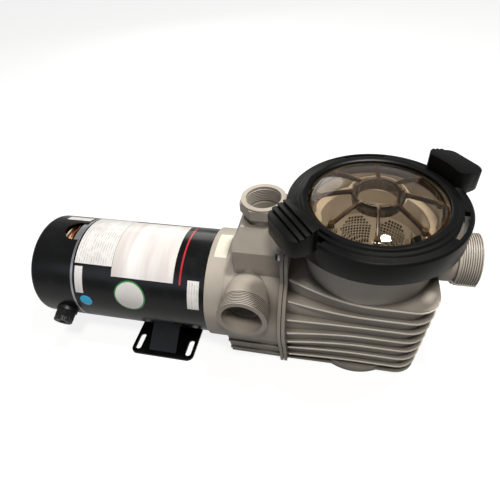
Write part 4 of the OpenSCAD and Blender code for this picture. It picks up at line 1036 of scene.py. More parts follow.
@dataclass
class WetEnd(SubAssembly):
    """The strainer pot, the volute and the bracket, with what is sealed in them.

    Attributes:
        pitch: Distance between the turns of the thread in the top port.
        wire: Radius of the thread's rounded crest.
        crest_in: How far the crest's middle lies in the wall, as a share of that radius.
        top_bore: Axis along the shaft, lowest turn, radius and turns of the thread in the top port.
        fin_levels: Heights of the fins' outer edges.
        nose_r: Radius of the rounded nose along a fin's edge.
        nose_in: How far the nose is sunk in the fin.
        nose_sharp: Corners of the nose sharper than this stay sharp, in degrees.
        joint_x: Where the fins begin, in front of the pot's flange.
    """

    pitch: float = 2.3
    wire: float = 0.9
    crest_in: float = 0.2
    top_bore: tuple[float, float, float, int] = (-121.5, 213.0, 20.0, 7)
    fin_levels: tuple[float, ...] = (151.0, 128.0, 106.0, 84.0, 62.0, 40.0, 18.0)
    nose_r: float = 1.3
    nose_in: float = 0.2
    nose_sharp: float = 60.0
    joint_x: float = -85.9

    def thread(self) -> None:
        """Lay the crests of the thread inside the top port, partly sunk in the wall."""
        x, z, radius, turns = self.top_bore
        mesh = grown(
            "top_port_thread",
            thread_tree(),
            {
                "Count": turns,
                "Pitch": self.pitch * MM,
                "Radius": (radius + self.wire * self.crest_in) * MM,
                "Wire radius": self.wire * MM,
                "Finish": WET_END.material(),
            },
        )
        mesh.transform(Matrix.Translation(Vector((x, 0.0, z)) * MM))
        mesh.shade_smooth()
        self.add("top_port_thread", mesh, Body.HOUSING, WET_END, "wet_end_plastic")

    def fin_edge(self, level: float) -> list[tuple[float, float, float]]:
        """Return the line along a fin's outer edge, from one side of the joint to the other.

        Args:
            level: Height of the fin.

        Returns:
            Points of the line, in millimetres.
        """
        bm = welded("strainer_pot")
        cut = bmesh.ops.bisect_plane(
            bm,
            geom=bm.verts[:] + bm.edges[:] + bm.faces[:],
            plane_co=(0.0, 0.0, level * MM),
            plane_no=(0.0, 0.0, 1.0),
        )
        links: dict[bmesh.types.BMVert, list[bmesh.types.BMVert]] = {}
        stubs: dict[bmesh.types.BMVert, Vector] = {}
        joint = self.joint_x * MM
        for edge in cut["geom_cut"]:
            if isinstance(edge, bmesh.types.BMEdge):
                back, front = sorted(edge.verts, key=lambda v: v.co.x)
                if back.co.x > joint:
                    links.setdefault(back, []).append(front)
                    links.setdefault(front, []).append(back)
                elif front.co.x > joint:
                    share = (front.co.x - joint) / (front.co.x - back.co.x)
                    stubs[front] = front.co.lerp(back.co, share)
        ends = [v for v, near in links.items() if len(near) == 1]
        here = min(ends, key=lambda v: v.co.y)
        line, seen = [here], {here}
        while True:
            ahead = [v for v in links[here] if v not in seen]
            if not ahead:
                break
            here = ahead[0]
            line.append(here)
            seen.add(here)
        places = [stubs.get(line[0]), *(v.co for v in line), stubs.get(line[-1])]
        points = [tuple(place / MM) for place in places if place is not None]
        bm.free()
        return points

    def noses(self) -> None:
        """Run a rounded nose along the outer edge of each fin, where the moulded edge catches the light."""
        bm = bmesh.new()
        for level in self.fin_levels:
            inset = []
            for x, y, z in self.fin_edge(level):
                share = self.nose_in / self.pot_reach(x, y)
                inset.append((x - share * x, y - share * y, z))
            log.info("fin at %s mm: %s points", level, len(inset))
            mesh = tube(inset, self.nose_r, Run.CORNERED)
            bm.from_mesh(mesh)
            bpy.data.meshes.remove(mesh)
        noses = from_bmesh("fin_noses", bm, self.nose_sharp)
        # The noses are painted paler than the fins: a painted highlight along their edges
        self.add("fin_noses", noses, Body.HOUSING, WET_EDGE_HIGHLIGHT, "wet_end_plastic")

    @staticmethod
    def pot_reach(x: float, y: float) -> float:
        """Return how far a point is from the pot's axis, in millimetres.

        Args:
            x: Its place along the shaft.
            y: Its place across the shaft.

        Returns:
            The distance, never 0.
        """
        return max(1.0, math.hypot(x, y))

    def build(self) -> None:
        """Dress the wet end, and add the top port's thread and the fins' noses."""
        self.dress(WET_END, "strainer_pot", "volute_housing", "motor_bracket")
        self.thread()
        self.noses()
        self.dress(NYLON_BLACK, "pot_drain_plug", "volute_drain_plug", "diffuser", "impeller")
        self.dress(
            NITRILE,
            "flange_gasket",
            "housing_o_ring",
            "diffuser_o_ring",
            "pot_drain_o_ring",
            "volute_drain_o_ring",
            "lid_o_ring",
            "seal_head",
            "slinger",
        )
        self.dress(ALUMINA, "seal_seat")
        self.dress(GROUND, "seal_spring")
        self.dress(ZINC, "flange_screws", "bracket_screws")


@dataclass
class Basket(SubAssembly):
    """The strainer basket, whose wall is a fine mesh below a plain band.

    The mesh ends lower beside the suction opening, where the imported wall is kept.

    Attributes:
        low_z: Where the mesh begins.
        high_z: Where the plain band begins beside the suction opening.
        arch_z: Where it begins elsewhere, above the panels' arched tops.
        valley_deg: Where two panels meet on the far side of the wall.
        kept_panels: Panels that are kept low beside the suction opening.
        floor_z: Underside of the floor.
        rim_z: Where the wall meets the rim.
        low_r: Outer radius at the floor.
        top_r: Outer radius at the rim.
        wall: Thickness of the wall.
        panels: Mesh panels round the wall.
        columns: Columns of the wall's grid in one panel, with a plain bar at each side.
        row_mm: Height of a row of the wall's grid.
        open_share: Share of a cell's width that its hole takes.
        bar_rows: Plain rows below the mesh and above the arches.
        arch_rows: Rows that an arch drops towards its sides.
        edge_tilt: A face whose normal leans outwards by less than this is the edge of a hole.
    """

    low_z: float = 26.0
    high_z: float = 142.0
    arch_z: float = 176.0
    valley_deg: float = 82.3
    kept_panels: int = 2
    floor_z: float = 14.0
    rim_z: float = 206.0
    low_r: float = 42.0
    top_r: float = 60.0
    wall: float = 1.0
    panels: int = 7
    columns: int = 13
    row_mm: float = 4.4
    open_share: float = 0.74
    bar_rows: float = 1.0
    arch_rows: float = 4.0
    edge_tilt: float = 0.5

    def radius(self, z: float) -> float:
        """Return the wall's outer radius at a height."""
        share = (z - self.floor_z) / (self.rim_z - self.floor_z)
        return self.low_r + (self.top_r - self.low_r) * share

    def arch_turns(self) -> tuple[float, float]:
        """Work out where the arched panels begin and end round the axis.

        Returns:
            Both turns, in radians.
        """
        panel = 2 * math.pi / self.panels
        start = math.radians(self.valley_deg) - panel
        return start, start + (self.panels - self.kept_panels) * panel

    def grid_tree(self) -> bpy.types.NodeTree:
        """Build the nodes that cut the cells of a flat grid open, roll it to a cone and give it a thickness.

        Returns:
            A tree with inputs for the panels, the grid, the cone and the holes.
        """
        tree, size = new_tree(
            "mesh_wall",
            {
                "Columns": "NodeSocketInt",
                "Rows": "NodeSocketInt",
                "Panel columns": "NodeSocketInt",
                "Low radius": "NodeSocketFloat",
                "High radius": "NodeSocketFloat",
                "Low height": "NodeSocketFloat",
                "Rise": "NodeSocketFloat",
                "Start turn": "NodeSocketFloat",
                "Turn": "NodeSocketFloat",
                "Wall": "NodeSocketFloat",
                "Open share": "NodeSocketFloat",
                "Foot rows": "NodeSocketFloat",
                "Top rows": "NodeSocketFloat",
                "Arch rows": "NodeSocketFloat",
                "Finish": "NodeSocketMaterial",
            },
        )
        place = add_node(
            tree,
            "ShaderNodeSeparateXYZ",
            inputs={0: add_node(tree, "GeometryNodeInputPosition").outputs[0]},
        )

        # Each sum takes numbers, or by name an input of the tree or a sum before it
        known = dict(size.items())
        known["x"], known["y"] = place.outputs[0], place.outputs[1]
        for name, operation, *terms in (
            ("columns of points", "ADD", "Columns", 1.0),
            ("rows of points", "ADD", "Rows", 1.0),
            ("across", "ADD", "x", 0.5),
            ("up", "ADD", "y", 0.5),
            # A cell is open where it is clear of its panel's side bars and below the panel's arched top
            ("columns across", "MULTIPLY", "across", "Columns"),
            ("column", "FLOOR", "columns across"),
            ("in panel", "MODULO", "column", "Panel columns"),
            ("last column", "SUBTRACT", "Panel columns", 1.0),
            ("middle column", "DIVIDE", "last column", 2.0),
            ("off middle", "SUBTRACT", "in panel", "middle column"),
            ("from middle", "ABSOLUTE", "off middle"),
            ("half panel", "DIVIDE", "Panel columns", 2.0),
            ("half mesh", "SUBTRACT", "half panel", 1.0),
            ("clear of bars", "LESS_THAN", "from middle", "half mesh"),
            ("rows up", "MULTIPLY", "up", "Rows"),
            ("row", "FLOOR", "rows up"),
            ("top row", "SUBTRACT", "Rows", "Top rows"),
            ("to side", "DIVIDE", "from middle", "half mesh"),
            ("bow", "POWER", "to side", 2.0),
            ("drop", "MULTIPLY", "Arch rows", "bow"),
            ("arch", "SUBTRACT", "top row", "drop"),
            ("below arch", "LESS_THAN", "row", "arch"),
            ("foot", "SUBTRACT", "Foot rows", 0.5),
            ("above foot", "GREATER_THAN", "row", "foot"),
            ("in mesh", "MULTIPLY", "clear of bars", "below arch"),
            ("is open", "MULTIPLY", "in mesh", "above foot"),
            # The flat grid is rolled round the axis
            ("turned", "MULTIPLY", "across", "Turn"),
            ("angle", "ADD", "Start turn", "turned"),
            ("taper", "SUBTRACT", "High radius", "Low radius"),
            ("wider", "MULTIPLY", "up", "taper"),
            ("radius", "ADD", "Low radius", "wider"),
            ("cosine", "COSINE", "angle"),
            ("sine", "SINE", "angle"),
            ("rolled x", "MULTIPLY", "radius", "cosine"),
            ("rolled y", "MULTIPLY", "radius", "sine"),
            ("risen", "MULTIPLY", "up", "Rise"),
            ("rolled z", "ADD", "Low height", "risen"),
            ("inwards", "MULTIPLY", "Wall", -1.0),
        ):
            inputs = {i: known.get(term, term) for i, term in enumerate(terms)}
            known[name] = add_node(tree, "ShaderNodeMath", {"operation": operation}, inputs).outputs[0]

        grid = add_node(
            tree,
            "GeometryNodeMeshGrid",
            inputs={
                "Size X": 1.0,
                "Size Y": 1.0,
                "Vertices X": known["columns of points"],
                "Vertices Y": known["rows of points"],
            },
        )
        pushed = add_node(
            tree,
            "GeometryNodeExtrudeMesh",
            {"mode": "FACES"},
            {
                "Mesh": grid.outputs[0],
                "Selection": known["is open"],
                "Offset Scale": 0.0,
                "Individual": True,
            },
        )
        hole = pushed.outputs["Top"]
        shrunk = add_node(
            tree,
            "GeometryNodeScaleElements",
            {"domain": "FACE"},
            {"Geometry": pushed.outputs["Mesh"], "Selection": hole, "Scale": size["Open share"]},
        )
        cut = add_node(
            tree,
            "GeometryNodeDeleteGeometry",
            {"domain": "FACE"},
            {"Geometry": shrunk.outputs[0], "Selection": hole},
        )
        round_place = add_node(
            tree,
            "ShaderNodeCombineXYZ",
            inputs={0: known["rolled x"], 1: known["rolled y"], 2: known["rolled z"]},
        )
        rolled = add_node(
            tree,
            "GeometryNodeSetPosition",
            inputs={"Geometry": cut.outputs[0], "Position": round_place.outputs[0]},
        )
        closed = add_node(
            tree, "GeometryNodeMergeByDistance", inputs={0: rolled.outputs[0], "Distance": SEAM}
        )
        inner = add_node(
            tree,
            "GeometryNodeExtrudeMesh",
            {"mode": "FACES"},
            {"Mesh": closed.outputs[0], "Offset Scale": known["inwards"], "Individual": False},
        )
        both = add_node(tree, "GeometryNodeJoinGeometry")
        tree.links.new(inner.outputs["Mesh"], both.inputs[0])
        tree.links.new(closed.outputs[0], both.inputs[0])
        joined = add_node(
            tree, "GeometryNodeMergeByDistance", inputs={0: both.outputs[0], "Distance": SEAM}
        )
        close_tree(tree, joined.outputs[0], size["Finish"])
        return tree

    def mesh_wall(self, tree: bpy.types.NodeTree, z: tuple[float, float], arched: bool) -> bpy.types.Mesh:
        """Return a belt of the wall's mesh.

        Args:
            tree: The nodes of the mesh.
            z: Heights of the belt's edges.
            arched: Whether it is the belt with the arched tops, which stops beside the suction opening.

        Returns:
            The belt.
        """
        panels = self.panels - self.kept_panels if arched else self.panels
        return grown(
            "mesh_wall",
            tree,
            {
                "Columns": panels * self.columns,
                "Rows": round((z[1] - z[0]) / self.row_mm),
                "Panel columns": self.columns,
                "Low radius": self.radius(z[0]) * MM,
                "High radius": self.radius(z[1]) * MM,
                "Low height": z[0] * MM,
                "Rise": (z[1] - z[0]) * MM,
                "Start turn": self.arch_turns()[0],
                "Turn": 2 * math.pi * panels / self.panels,
                "Wall": self.wall * MM,
                "Open share": self.open_share,
                "Foot rows": 0.0 if arched else self.bar_rows,
                "Top rows": self.bar_rows if arched else 0.0,
                "Arch rows": self.arch_rows if arched else 0.0,
                "Finish": BASKET_TAN.material(),
            },
        )

    def kept_part(self, planes: list[tuple[Vector, Vector]]) -> bpy.types.Mesh:
        """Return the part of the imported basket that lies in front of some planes, closed where it is cut.

        Args:
            planes: A point and a normal for each plane.

        Returns:
            The part.
        """
        part = welded("strainer_basket", flatten=True)
        for point, normal in planes:
            cut = bmesh.ops.bisect_plane(
                part,
                geom=part.verts[:] + part.edges[:] + part.faces[:],
                plane_co=point,
                plane_no=normal,
                clear_inner=True,
            )
            edges = [e for e in cut["geom_cut"] if isinstance(e, bmesh.types.BMEdge)]
            bmesh.ops.triangle_fill(part, edges=edges, use_beauty=True)
        mesh = bpy.data.meshes.new("basket_part")
        part.to_mesh(mesh)
        part.free()
        return mesh

    def kept_parts(self) -> list[bpy.types.Mesh]:
        """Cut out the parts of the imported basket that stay.

        Returns:
            Its floor, its plain band and the wall beside the suction opening.
        """
        low, high, arch = (Vector((0.0, 0.0, z * MM)) for z in (self.low_z, self.high_z, self.arch_z))
        up, down = Vector((0.0, 0.0, 1.0)), Vector((0.0, 0.0, -1.0))
        sides = [
            (Vector(), Vector((side * math.sin(a), -side * math.cos(a), 0.0)))
            for side, a in zip((1, -1), self.arch_turns())
        ]
        return [
            self.kept_part([(low, down)]),
            self.kept_part([(arch, up)]),
            self.kept_part([(high, up), (arch, down), *sides]),
        ]

    def build(self) -> None:
        """Join the mesh wall to the basket's floor and band."""
        tree = self.grid_tree()
        walls = [
            self.mesh_wall(tree, (self.low_z, self.high_z), False),
            self.mesh_wall(tree, (self.high_z, self.arch_z), True),
        ]
        bm = bmesh.new()
        for mesh in walls + self.kept_parts():
            bm.from_mesh(mesh)
            bpy.data.meshes.remove(mesh)
        bmesh.ops.recalc_face_normals(bm, faces=bm.faces)
        # Sides of the small holes get painted shade (index 1), the webs between them painted light (index 2)
        for face in bm.faces:
            middle = face.calc_center_median() / MM
            outward = Vector((middle.x, middle.y, 0.0)).normalized()
            across = abs(face.normal.dot(outward)) < self.edge_tilt
            small = face.calc_area() < (self.row_mm * MM) ** 2
            if small and self.low_z < middle.z < self.arch_z:
                face.material_index = 1 if across else 2
        made = self.add(
            "basket_moulding",
            from_bmesh("basket_moulding", bm),
            Body.HOUSING,
            BASKET_TAN,
            "basket_plastic",
            (BASKET_HOLE_SHADE, BASKET_WEB_LIT),
        )
        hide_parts("strainer_basket")


@dataclass
class Lid(SubAssembly):
    """The clear lens and the lock ring.

    Attributes:
        edge_mm: Rounding of the ring's edges.
        rib_r: Radius inside which the lens has its ribs and hub.
        hub_r: Radius of the hub, whose wall is as clear as the dome.
        dome: Height of the middle of the dome's sphere, and the radius of the dome's underside.
        below_dome: A face this far under the dome belongs to a rib or the hub.
        side_tilt: A face whose normal leans up by less than this is the side of a rib.
        stud_pcr: Distance of the studs at the ribs' ends from the axis.
        stud: Radius and height of a stud, and the height of its middle.
        ribs: Number of ribs.
    """

    edge_mm: float = 0.8
    rib_r: float = 69.0
    hub_r: float = 25.8
    dome: tuple[float, float] = (74.3, 174.9)
    below_dome: float = 1.0
    side_tilt: float = 0.3
    stud_pcr: float = 62.0
    stud: tuple[float, float, float] = (3.2, 6.0, 236.0)
    ribs: int = 8

    def lens(self) -> None:
        """Replace the lens with a copy whose ribs have a deeper tint, and stand the studs under it."""
        bm = welded("lid_lens")
        dome_z, dome_r = self.dome
        for face in bm.faces:
            middle = face.calc_center_median() / MM
            reach = math.hypot(middle.x, middle.y)
            side = abs(face.normal.z) < self.side_tilt and reach > self.hub_r
            below = (middle - Vector((0.0, 0.0, dome_z))).length < dome_r - self.below_dome
            under = below and face.normal.z < 0.0
            face.material_index = int(reach < self.rib_r and (side or under))
        mesh = from_bmesh("lens_moulding", bm)
        made = self.add("lens_moulding", mesh, Body.LID, LENS, "lens_plastic", (LENS_DEEP,))
        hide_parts("lid_lens")
        radius, height, z = self.stud
        studs = grown(
            "lens_studs",
            stud_tree(),
            {
                "Count": self.ribs,
                "Circle radius": self.stud_pcr * MM,
                "Stud radius": radius * MM,
                "Stud height": height * MM,
                "Finish": LENS_DEEP.material(),
            },
        )
        studs.transform(Matrix.Translation((0.0, 0.0, z * MM)))
        self.add("lens_studs", smoothed(studs), Body.LID, LENS_DEEP, "lens_plastic")

    def build(self) -> None:
        """Dress the lens and the ring."""
        self.lens()
        self.rounded("lock_ring", Body.RING, RING_BLACK, "ring_plastic", self.edge_mm)


@dataclass
class Sheet:
    """A thin sheet stuck on the motor.

    Attributes:
        name: The piece's name.
        finish: Its finish.
        x: Its two ends along the shaft.
        turn: Its two sides, in degrees from the top towards the side port.
        radius: Radius of what it is stuck on.
        ripple_mm: How far it lifts in loose waves.
    """

    name: str
    finish: Finish
    x: tuple[float, float]
    turn: tuple[float, float]
    radius: float = MOTOR_R
    ripple_mm: float = 0.0


@dataclass
class Badge:
    """A round sticker on the motor.

    Attributes:
        name: The piece's name.
        finish: Its finish.
        x: Its middle along the shaft.
        turn: Its middle, in degrees from the top towards the side port.
        radius: Its radius.
        lift: How far it lies above the glue.
    """

    name: str
    finish: Finish
    x: float
    turn: float
    radius: float
    lift: float = 0.0


@dataclass
class Motor(SubAssembly):
    """The motor with its foot, its rotor and the sheets stuck on it.

    Attributes:
        lead_r: Radius of a winding lead behind the vent.
        leads: Place of each lead along the shaft, and its distance from the shaft's axis.
        lead_turns: Turns from the top through which a lead runs.
        lead_dip: How far a lead's two ends dip towards the shaft.
        lead_sway: How a lead sways along the shaft, then away from it: how far, and by how many
            radians the sway goes on from point to point and from lead to lead.
        nut: Place of the gland nut's nose: along the shaft, turn from the top, distance and radius.
        nut_ribs: Number, radius and length of the ribs round it.
        sheet_gap: Glue under a sheet.
        sheet_t: Thickness of a sheet.
        step_mm: Largest face of a sheet.
        wave: Length of a sheet's loose waves along the shaft and, in degrees, round it.
        wave_seed: Place in the noise that shapes the waves.
        wave_edge: Faces from a sheet's edge over which its waves die down.
        badge_rings: Rings of faces in a round sticker.
        badge_steps: Faces round it.
        badges: The round stickers.
        sheets: The sheets.
    """

    lead_r: float = 1.6
    leads: tuple[tuple[float, float], ...] = (
        (-379.0, 60.0),
        (-382.5, 62.5),
        (-386.0, 60.5),
        (-389.5, 63.0),
        (-393.0, 61.0),
        (-396.5, 63.0),
        (-400.0, 61.0),
    )
    lead_turns: tuple[float, ...] = (24.0, 17.0, 8.0, -3.0, -14.0, -25.0, -31.0)
    lead_dip: float = 12.0
    lead_sway: tuple[tuple[float, float, float], ...] = ((1.5, 1.7, 2.0), (1.0, 2.0, 1.0))
    nut: tuple[float, float, float, float] = (-395.5, 107.0, 83.0, 11.5)
    nut_ribs: tuple[int, float, float] = (18, 0.9, 5.5)
    sheet_gap: float = 0.05
    sheet_t: float = 0.2
    step_mm: float = 3.0
    wave: tuple[float, float] = (14.0, 55.0)
    wave_seed: float = 3.7
    wave_edge: int = 4
    badge_rings: int = 6
    badge_steps: int = 48
    badges: list[Badge] = field(
        default_factory=lambda: [
            Badge("blue_sticker", VINYL_BLUE, -355.0, 83.0, 8.5),
            Badge("round_sticker_rim", VINYL_GREEN, -290.0, 70.0, 21.5),
            Badge("round_sticker", PAPER, -290.0, 70.0, 19.5, lift=0.25),
        ]
    )
    sheets: list[Sheet] = field(
        default_factory=lambda: [
            Sheet("plate_sheet", RULED, (-368.0, -315.5), (-33.0, 40.0)),
            Sheet("guide_sheet", CREASE_SHADED, (-315.0, -231.0), (-30.0, 50.0), ripple_mm=0.5),
            Sheet("red_stripe", VINYL_RED, (-223.3, -220.9), (-25.0, 51.0)),
            Sheet("seam_label", PAPER, (-367.0, -356.0), (43.0, 73.0)),
            Sheet("front_label", RULED, (-212.0, -197.0), (45.0, 76.0)),
            Sheet("cover_label", PAPER, (-413.0, -377.0), (-29.0, -19.0)),
            Sheet("bracket_label", PAPER_AGED, (-183.0, -167.0), (-12.0, 19.0), radius=73.0),
        ]
    )

    def on_round(self, x: float, turn: float, radius: float) -> Vector:
        """Return a point on the motor's round side, in metres.

        Args:
            x: Place along the shaft.
            turn: Degrees from the top towards the side port.
            radius: Distance from the shaft.

        Returns:
            The point.
        """
        a = math.radians(turn)
        return Vector((x, -radius * math.sin(a), SHAFT_Z + radius * math.cos(a))) * MM

    def sheet_mesh(self, sheet: Sheet) -> bpy.types.Mesh:
        """Return a closed thin sheet, with a map in metres for its printed rows.

        Args:
            sheet: What to make.

        Returns:
            The mesh.
        """
        low = sheet.radius + self.sheet_gap
        along = sheet.x[1] - sheet.x[0]
        round_way = math.radians(sheet.turn[1] - sheet.turn[0]) * sheet.radius
        columns = max(2, round(along / self.step_mm))
        rows = max(2, round(round_way / self.step_mm))
        bm = bmesh.new()
        uv = bm.loops.layers.uv.new("Sheet")
        layers = []
        for lift in (0.0, self.sheet_t):
            layer = []
            for i in range(columns + 1):
                for j in range(rows + 1):
                    x = sheet.x[0] + along * i / columns
                    turn = sheet.turn[0] + (sheet.turn[1] - sheet.turn[0]) * j / rows
                    inside = min(i, columns - i, j, rows - j) / self.wave_edge
                    wave = noise.noise(Vector((x / self.wave[0], turn / self.wave[1], self.wave_seed)))
                    ripple = sheet.ripple_mm * max(0.0, wave) * min(1.0, inside)
                    layer.append(bm.verts.new(self.on_round(x, turn, low + lift + ripple)))
            layers.append(layer)
        under, top = layers

        def at(i: int, j: int) -> int:
            """Return the number of a point in its layer."""
            return i * (rows + 1) + j

        for i in range(columns):
            for j in range(rows):
                ring = [at(i, j), at(i + 1, j), at(i + 1, j + 1), at(i, j + 1)]
                bm.faces.new([top[k] for k in ring])
                bm.faces.new([under[k] for k in reversed(ring)])
        rim = [at(i, 0) for i in range(columns)]
        rim += [at(columns, j) for j in range(rows)]
        rim += [at(i, rows) for i in range(columns, 0, -1)]
        rim += [at(0, j) for j in range(rows, 0, -1)]
        for a, b in zip(rim, rim[1:] + rim[:1]):
            bm.faces.new((under[a], under[b], top[b], top[a]))
        bmesh.ops.recalc_face_normals(bm, faces=bm.faces)
        for face in bm.faces:
            for loop in face.loops:
                x, y, z = loop.vert.co / MM
                turn = math.atan2(-y, z - SHAFT_Z)
                loop[uv].uv = (x * MM, turn * sheet.radius * MM)
        return from_bmesh(sheet.name, bm)

    def badge_mesh(self, badge: Badge) -> bpy.types.Mesh:
        """Return a round sticker bent onto the motor's side.

        Args:
            badge: What to make.

        Returns:
            The mesh.
        """
        rings, steps = self.badge_rings, self.badge_steps
        bm = bmesh.new()
        layers = []
        for height in (badge.lift, badge.lift + self.sheet_t):
            level = MOTOR_R + self.sheet_gap + height
            rows = [[bm.verts.new(self.on_round(badge.x, badge.turn, level))]]
            for k in range(1, rings + 1):
                row = []
                for i in range(steps):
                    a = 2 * math.pi * i / steps
                    r = badge.radius * k / rings
                    turn = badge.turn + math.degrees(r * math.sin(a) / MOTOR_R)
                    row.append(bm.verts.new(self.on_round(badge.x + r * math.cos(a), turn, level)))
                rows.append(row)
            layers.append(rows)
        for rows in layers:
            for i in range(steps):
                j = (i + 1) % steps
                bm.faces.new((rows[0][0], rows[1][i], rows[1][j]))
                for k in range(1, rings):
                    bm.faces.new((rows[k][i], rows[k + 1][i], rows[k + 1][j], rows[k][j]))
        for i in range(steps):
            j = (i + 1) % steps
            bm.faces.new((layers[0][-1][i], layers[0][-1][j], layers[1][-1][j], layers[1][-1][i]))
        bmesh.ops.recalc_face_normals(bm, faces=bm.faces)
        return from_bmesh(badge.name, bm)

    def winding_leads(self) -> None:
        """Loop the winding leads, every other one sleeved, where they show in the cover's vent."""
        bm = bmesh.new()
        ends = (0, len(self.lead_turns) - 1)
        for k, (x, r) in enumerate(self.leads):
            line = []
            for step, turn in enumerate(self.lead_turns):
                a = math.radians(turn)
                along, away = (
                    far * math.sin(per_point * step + per_lead * k)
                    for far, per_point, per_lead in self.lead_sway
                )
                reach = r - (self.lead_dip if step in ends else 0.0) + away
                line.append((x + along, -reach * math.sin(a), SHAFT_Z + reach * math.cos(a)))
            mesh = tube(line, self.lead_r)
            mesh.polygons.foreach_set("material_index", [(k + 1) % 2] * len(mesh.polygons))
            bm.from_mesh(mesh)
            bpy.data.meshes.remove(mesh)
        mesh = from_bmesh("winding_leads", bm)
        self.add("winding_leads", mesh, Body.HOUSING, COPPER, "winding_copper", (SLEEVING,))

    def gland_ribs(self) -> None:
        """Stand the ribs round the gland nut's nose."""
        x, turn, distance, radius = self.nut
        count, rib_r, length = self.nut_ribs
        mesh = grown(
            "gland_ribs",
            stud_tree(),
            {
                "Count": count,
                "Circle radius": radius * MM,
                "Stud radius": rib_r * MM,
                "Stud height": length * MM,
                "Finish": NYLON_BLACK.material(),
            },
        )
        mesh.transform(
            Matrix.Translation(self.on_round(x, turn, distance + length / 2))
            @ Matrix.Rotation(math.radians(turn), 4, "X")
        )
        self.add("gland_ribs", smoothed(mesh), Body.HOUSING, NYLON_BLACK, "black_plastic")

    def build(self) -> None:
        """Dress the motor, and add its leads, the gland's ribs and what is stuck on it."""
        self.winding_leads()
        self.gland_ribs()
        self.dress(ENAMEL, "motor_shell", "front_end_bell", "rear_cover", "foot_bracket")
        self.dress(ALUMINIUM, "rear_end_bell", "capacitor_strap")
        self.dress(STACKED, "stator_core", "rotor_core")
        self.dress(COPPER, "stator_windings", "bonding_lug")
        self.dress(NYLON_BLACK, "capacitor", "terminal_board", "cord_gland", "gland_nut")
        self.dress(PHENOLIC, "start_switch", "governor")
        self.dress(NYLON_NATURAL, "cooling_fan")
        self.dress(GROUND, "shaft")
        self.dress(
            ZINC,
            "motor_bolts",
            "through_bolts",
            "cover_screws",
            "lug_screw",
            "foot_screws",
            "bearing_balls",
            "front_outer_race",
            "rear_outer_race",
            "front_inner_race",
            "rear_inner_race",
        )
        for sheet in self.sheets:
            self.add(sheet.name, self.sheet_mesh(sheet), Body.HOUSING, sheet.finish)
        for badge in self.badges:
            self.add(badge.name, self.badge_mesh(badge), Body.HOUSING, badge.finish)


@dataclass(frozen=True)
class Lamp:
    """A soft round lamp.

    Attributes:
        name: The lamp's name.
        place: Where it hangs, in metres.
        size: Its width, in metres.
        power: Its power, in watts.
        colour: Its colour, in sRGB.
    """

    name: str
    place: tuple[float, float, float]
    size: float
    power: float
    colour: str


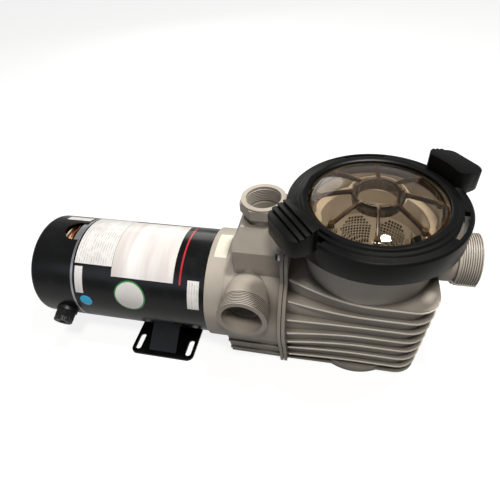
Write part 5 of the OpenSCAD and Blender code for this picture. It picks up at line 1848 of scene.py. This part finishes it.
@dataclass
class Studio:
    """The floor, the lamps, the sky and the camera.

    Attributes:
        eye: The camera's place, in millimetres.
        turn: Its turn round the object, in degrees.
        tilt: How far it looks down.
        roll: How far it leans.
        lens: Focal length.
        sensor: Width of the sensor, in millimetres.
        shift: Offset of the picture's middle.
        clip: Nearest and farthest that it sees, in metres.
        floor_half: Half the floor's width, in metres.
        floor_colour: The floor's own colour, which takes the shadow.
        floor_levels: The floor's glow as a lamp, in mirrors and through the lens, and to the camera.
        sky_levels: The sky's strength, likewise.
        aim: What the lamps point at, in metres.
        lamps: The lamps.
    """

    eye: tuple[float, float, float] = (-37.53, -367.72, 510.59)
    turn: float = 15.04
    tilt: float = 42.91
    roll: float = -4.87
    lens: float = 30.177
    sensor: float = 36.0
    shift: tuple[float, float] = (-0.0094, -0.0108)
    clip: tuple[float, float] = (0.01, 50.0)
    floor_half: float = 6.0
    floor_colour: str = "#959595"
    floor_levels: tuple[float, float, float] = (0.0, 0.3, 0.84)
    sky_levels: tuple[float, float, float] = (0.06, 0.3, 0.86)
    aim: tuple[float, float, float] = (-0.12, 0.0, 0.12)
    lamps: tuple[Lamp, ...] = (
        Lamp("key_light", (0.24, 0.09, 1.5), 0.17, 18.0, "#fffcf8"),
        Lamp("front_light", (0.1, -0.62, 1.6), 0.3, 13.0, "#fffaf2"),
        Lamp("window_light", (-0.9, -1.2, 0.9), 0.8, 1.5, "#dde8ff"),
        Lamp("back_light", (-0.7, 1.3, 0.7), 0.8, 3.5, "#fffdf8"),
    )

    def camera(self) -> None:
        """Put the camera where the photograph was taken."""
        a, e, r = (math.radians(v) for v in (self.turn, self.tilt, self.roll))
        ahead = Vector((-math.sin(a) * math.cos(e), math.cos(a) * math.cos(e), -math.sin(e)))
        level = Vector((math.cos(a), math.sin(a), 0.0))
        over = level.cross(ahead)
        right = level * math.cos(r) + over * math.sin(r)
        up = over * math.cos(r) - level * math.sin(r)
        data = bpy.data.cameras.new("camera")
        data.lens = self.lens
        data.sensor_width = self.sensor
        data.shift_x, data.shift_y = self.shift
        data.clip_start, data.clip_end = self.clip
        made = bpy.data.objects.new("camera", data)
        made.matrix_world = Matrix.Translation(Vector(self.eye) * MM) @ Matrix(
            (right, up, -ahead)
        ).transposed().to_4x4()
        bpy.context.scene.collection.objects.link(made)
        bpy.context.scene.camera = made

    @staticmethod
    def background(tree: bpy.types.NodeTree, levels: tuple[float, float, float]) -> bpy.types.NodeSocket:
        """Return how bright the background is to each kind of ray.

        Args:
            tree: Nodes of the floor's material or of the sky.
            levels: Its strength as a lamp, in mirrors and through the lens, and to the camera.

        Returns:
            The strength.
        """
        as_lamp, by_way, in_sight = levels
        path = add_node(tree, "ShaderNodeLightPath").outputs
        thrown = add_node(
            tree,
            "ShaderNodeMath",
            {"operation": "MAXIMUM"},
            {0: path["Is Glossy Ray"], 1: path["Is Transmission Ray"]},
        )
        indirect = add_node(
            tree,
            "ShaderNodeMapRange",
            inputs={"Value": thrown.outputs[0], "To Min": as_lamp, "To Max": by_way},
        )
        strength = add_node(
            tree,
            "ShaderNodeMapRange",
            inputs={"Value": path["Is Camera Ray"], "To Min": indirect.outputs[0], "To Max": in_sight},
        )
        return strength.outputs[0]

    def floor(self) -> None:
        """Lay a pale floor that keeps the pump's shadow and shows white to the camera."""
        mesh = bpy.data.meshes.new("floor")
        half = self.floor_half
        mesh.from_pydata(
            [(-half, -half, 0), (half, -half, 0), (half, half, 0), (-half, half, 0)], [], [(0, 1, 2, 3)]
        )
        made = as_object("floor", mesh)
        paint = bpy.data.materials.new("pale_floor")
        paint.use_nodes = True
        tree = paint.node_tree
        tree.nodes.clear()
        dull = add_node(tree, "ShaderNodeBsdfDiffuse", inputs={"Color": linear(self.floor_colour)})
        glow = add_node(
            tree,
            "ShaderNodeEmission",
            inputs={"Color": linear("#ffffff"), "Strength": self.background(tree, self.floor_levels)},
        )
        both = add_node(tree, "ShaderNodeAddShader", inputs={0: dull.outputs[0], 1: glow.outputs[0]})
        add_node(tree, "ShaderNodeOutputMaterial", inputs={"Surface": both.outputs[0]})
        mesh.materials.append(paint)

    def hang(self, lamp: Lamp) -> None:
        """Hang a lamp that points at the middle of the pump.

        Args:
            lamp: The lamp.
        """
        data = bpy.data.lights.new(lamp.name, "AREA")
        data.shape = "DISK"
        data.size = lamp.size
        data.energy = lamp.power
        data.color = linear(lamp.colour)[:3]
        made = bpy.data.objects.new(lamp.name, data)
        turn = (Vector(self.aim) - Vector(lamp.place)).to_track_quat("-Z", "Y")
        made.matrix_world = Matrix.Translation(lamp.place) @ turn.to_matrix().to_4x4()
        bpy.context.scene.collection.objects.link(made)

    def build(self) -> None:
        """Make the floor, the lamps, the sky and the camera."""
        self.camera()
        self.floor()
        for lamp in self.lamps:
            self.hang(lamp)
        sky = bpy.data.worlds.new("studio")
        sky.use_nodes = True
        tree = sky.node_tree
        tree.nodes.clear()
        light = add_node(
            tree,
            "ShaderNodeBackground",
            inputs={"Color": linear("#ffffff"), "Strength": self.background(tree, self.sky_levels)},
        )
        add_node(tree, "ShaderNodeOutputWorld", inputs={"Surface": light.outputs[0]})
        bpy.context.scene.world = sky
        bpy.context.scene.view_settings.view_transform = "Standard"


def main() -> None:
    """Dress the pump, piece by piece, and light it."""
    logging.basicConfig(level=logging.INFO, format="%(name)s: %(message)s")
    Studio().build()
    for part in (WetEnd(), Basket(), Lid(), Motor()):
        part.build()
        log.info("%s is done", type(part).__name__)


if __name__ == "__main__":
    main()
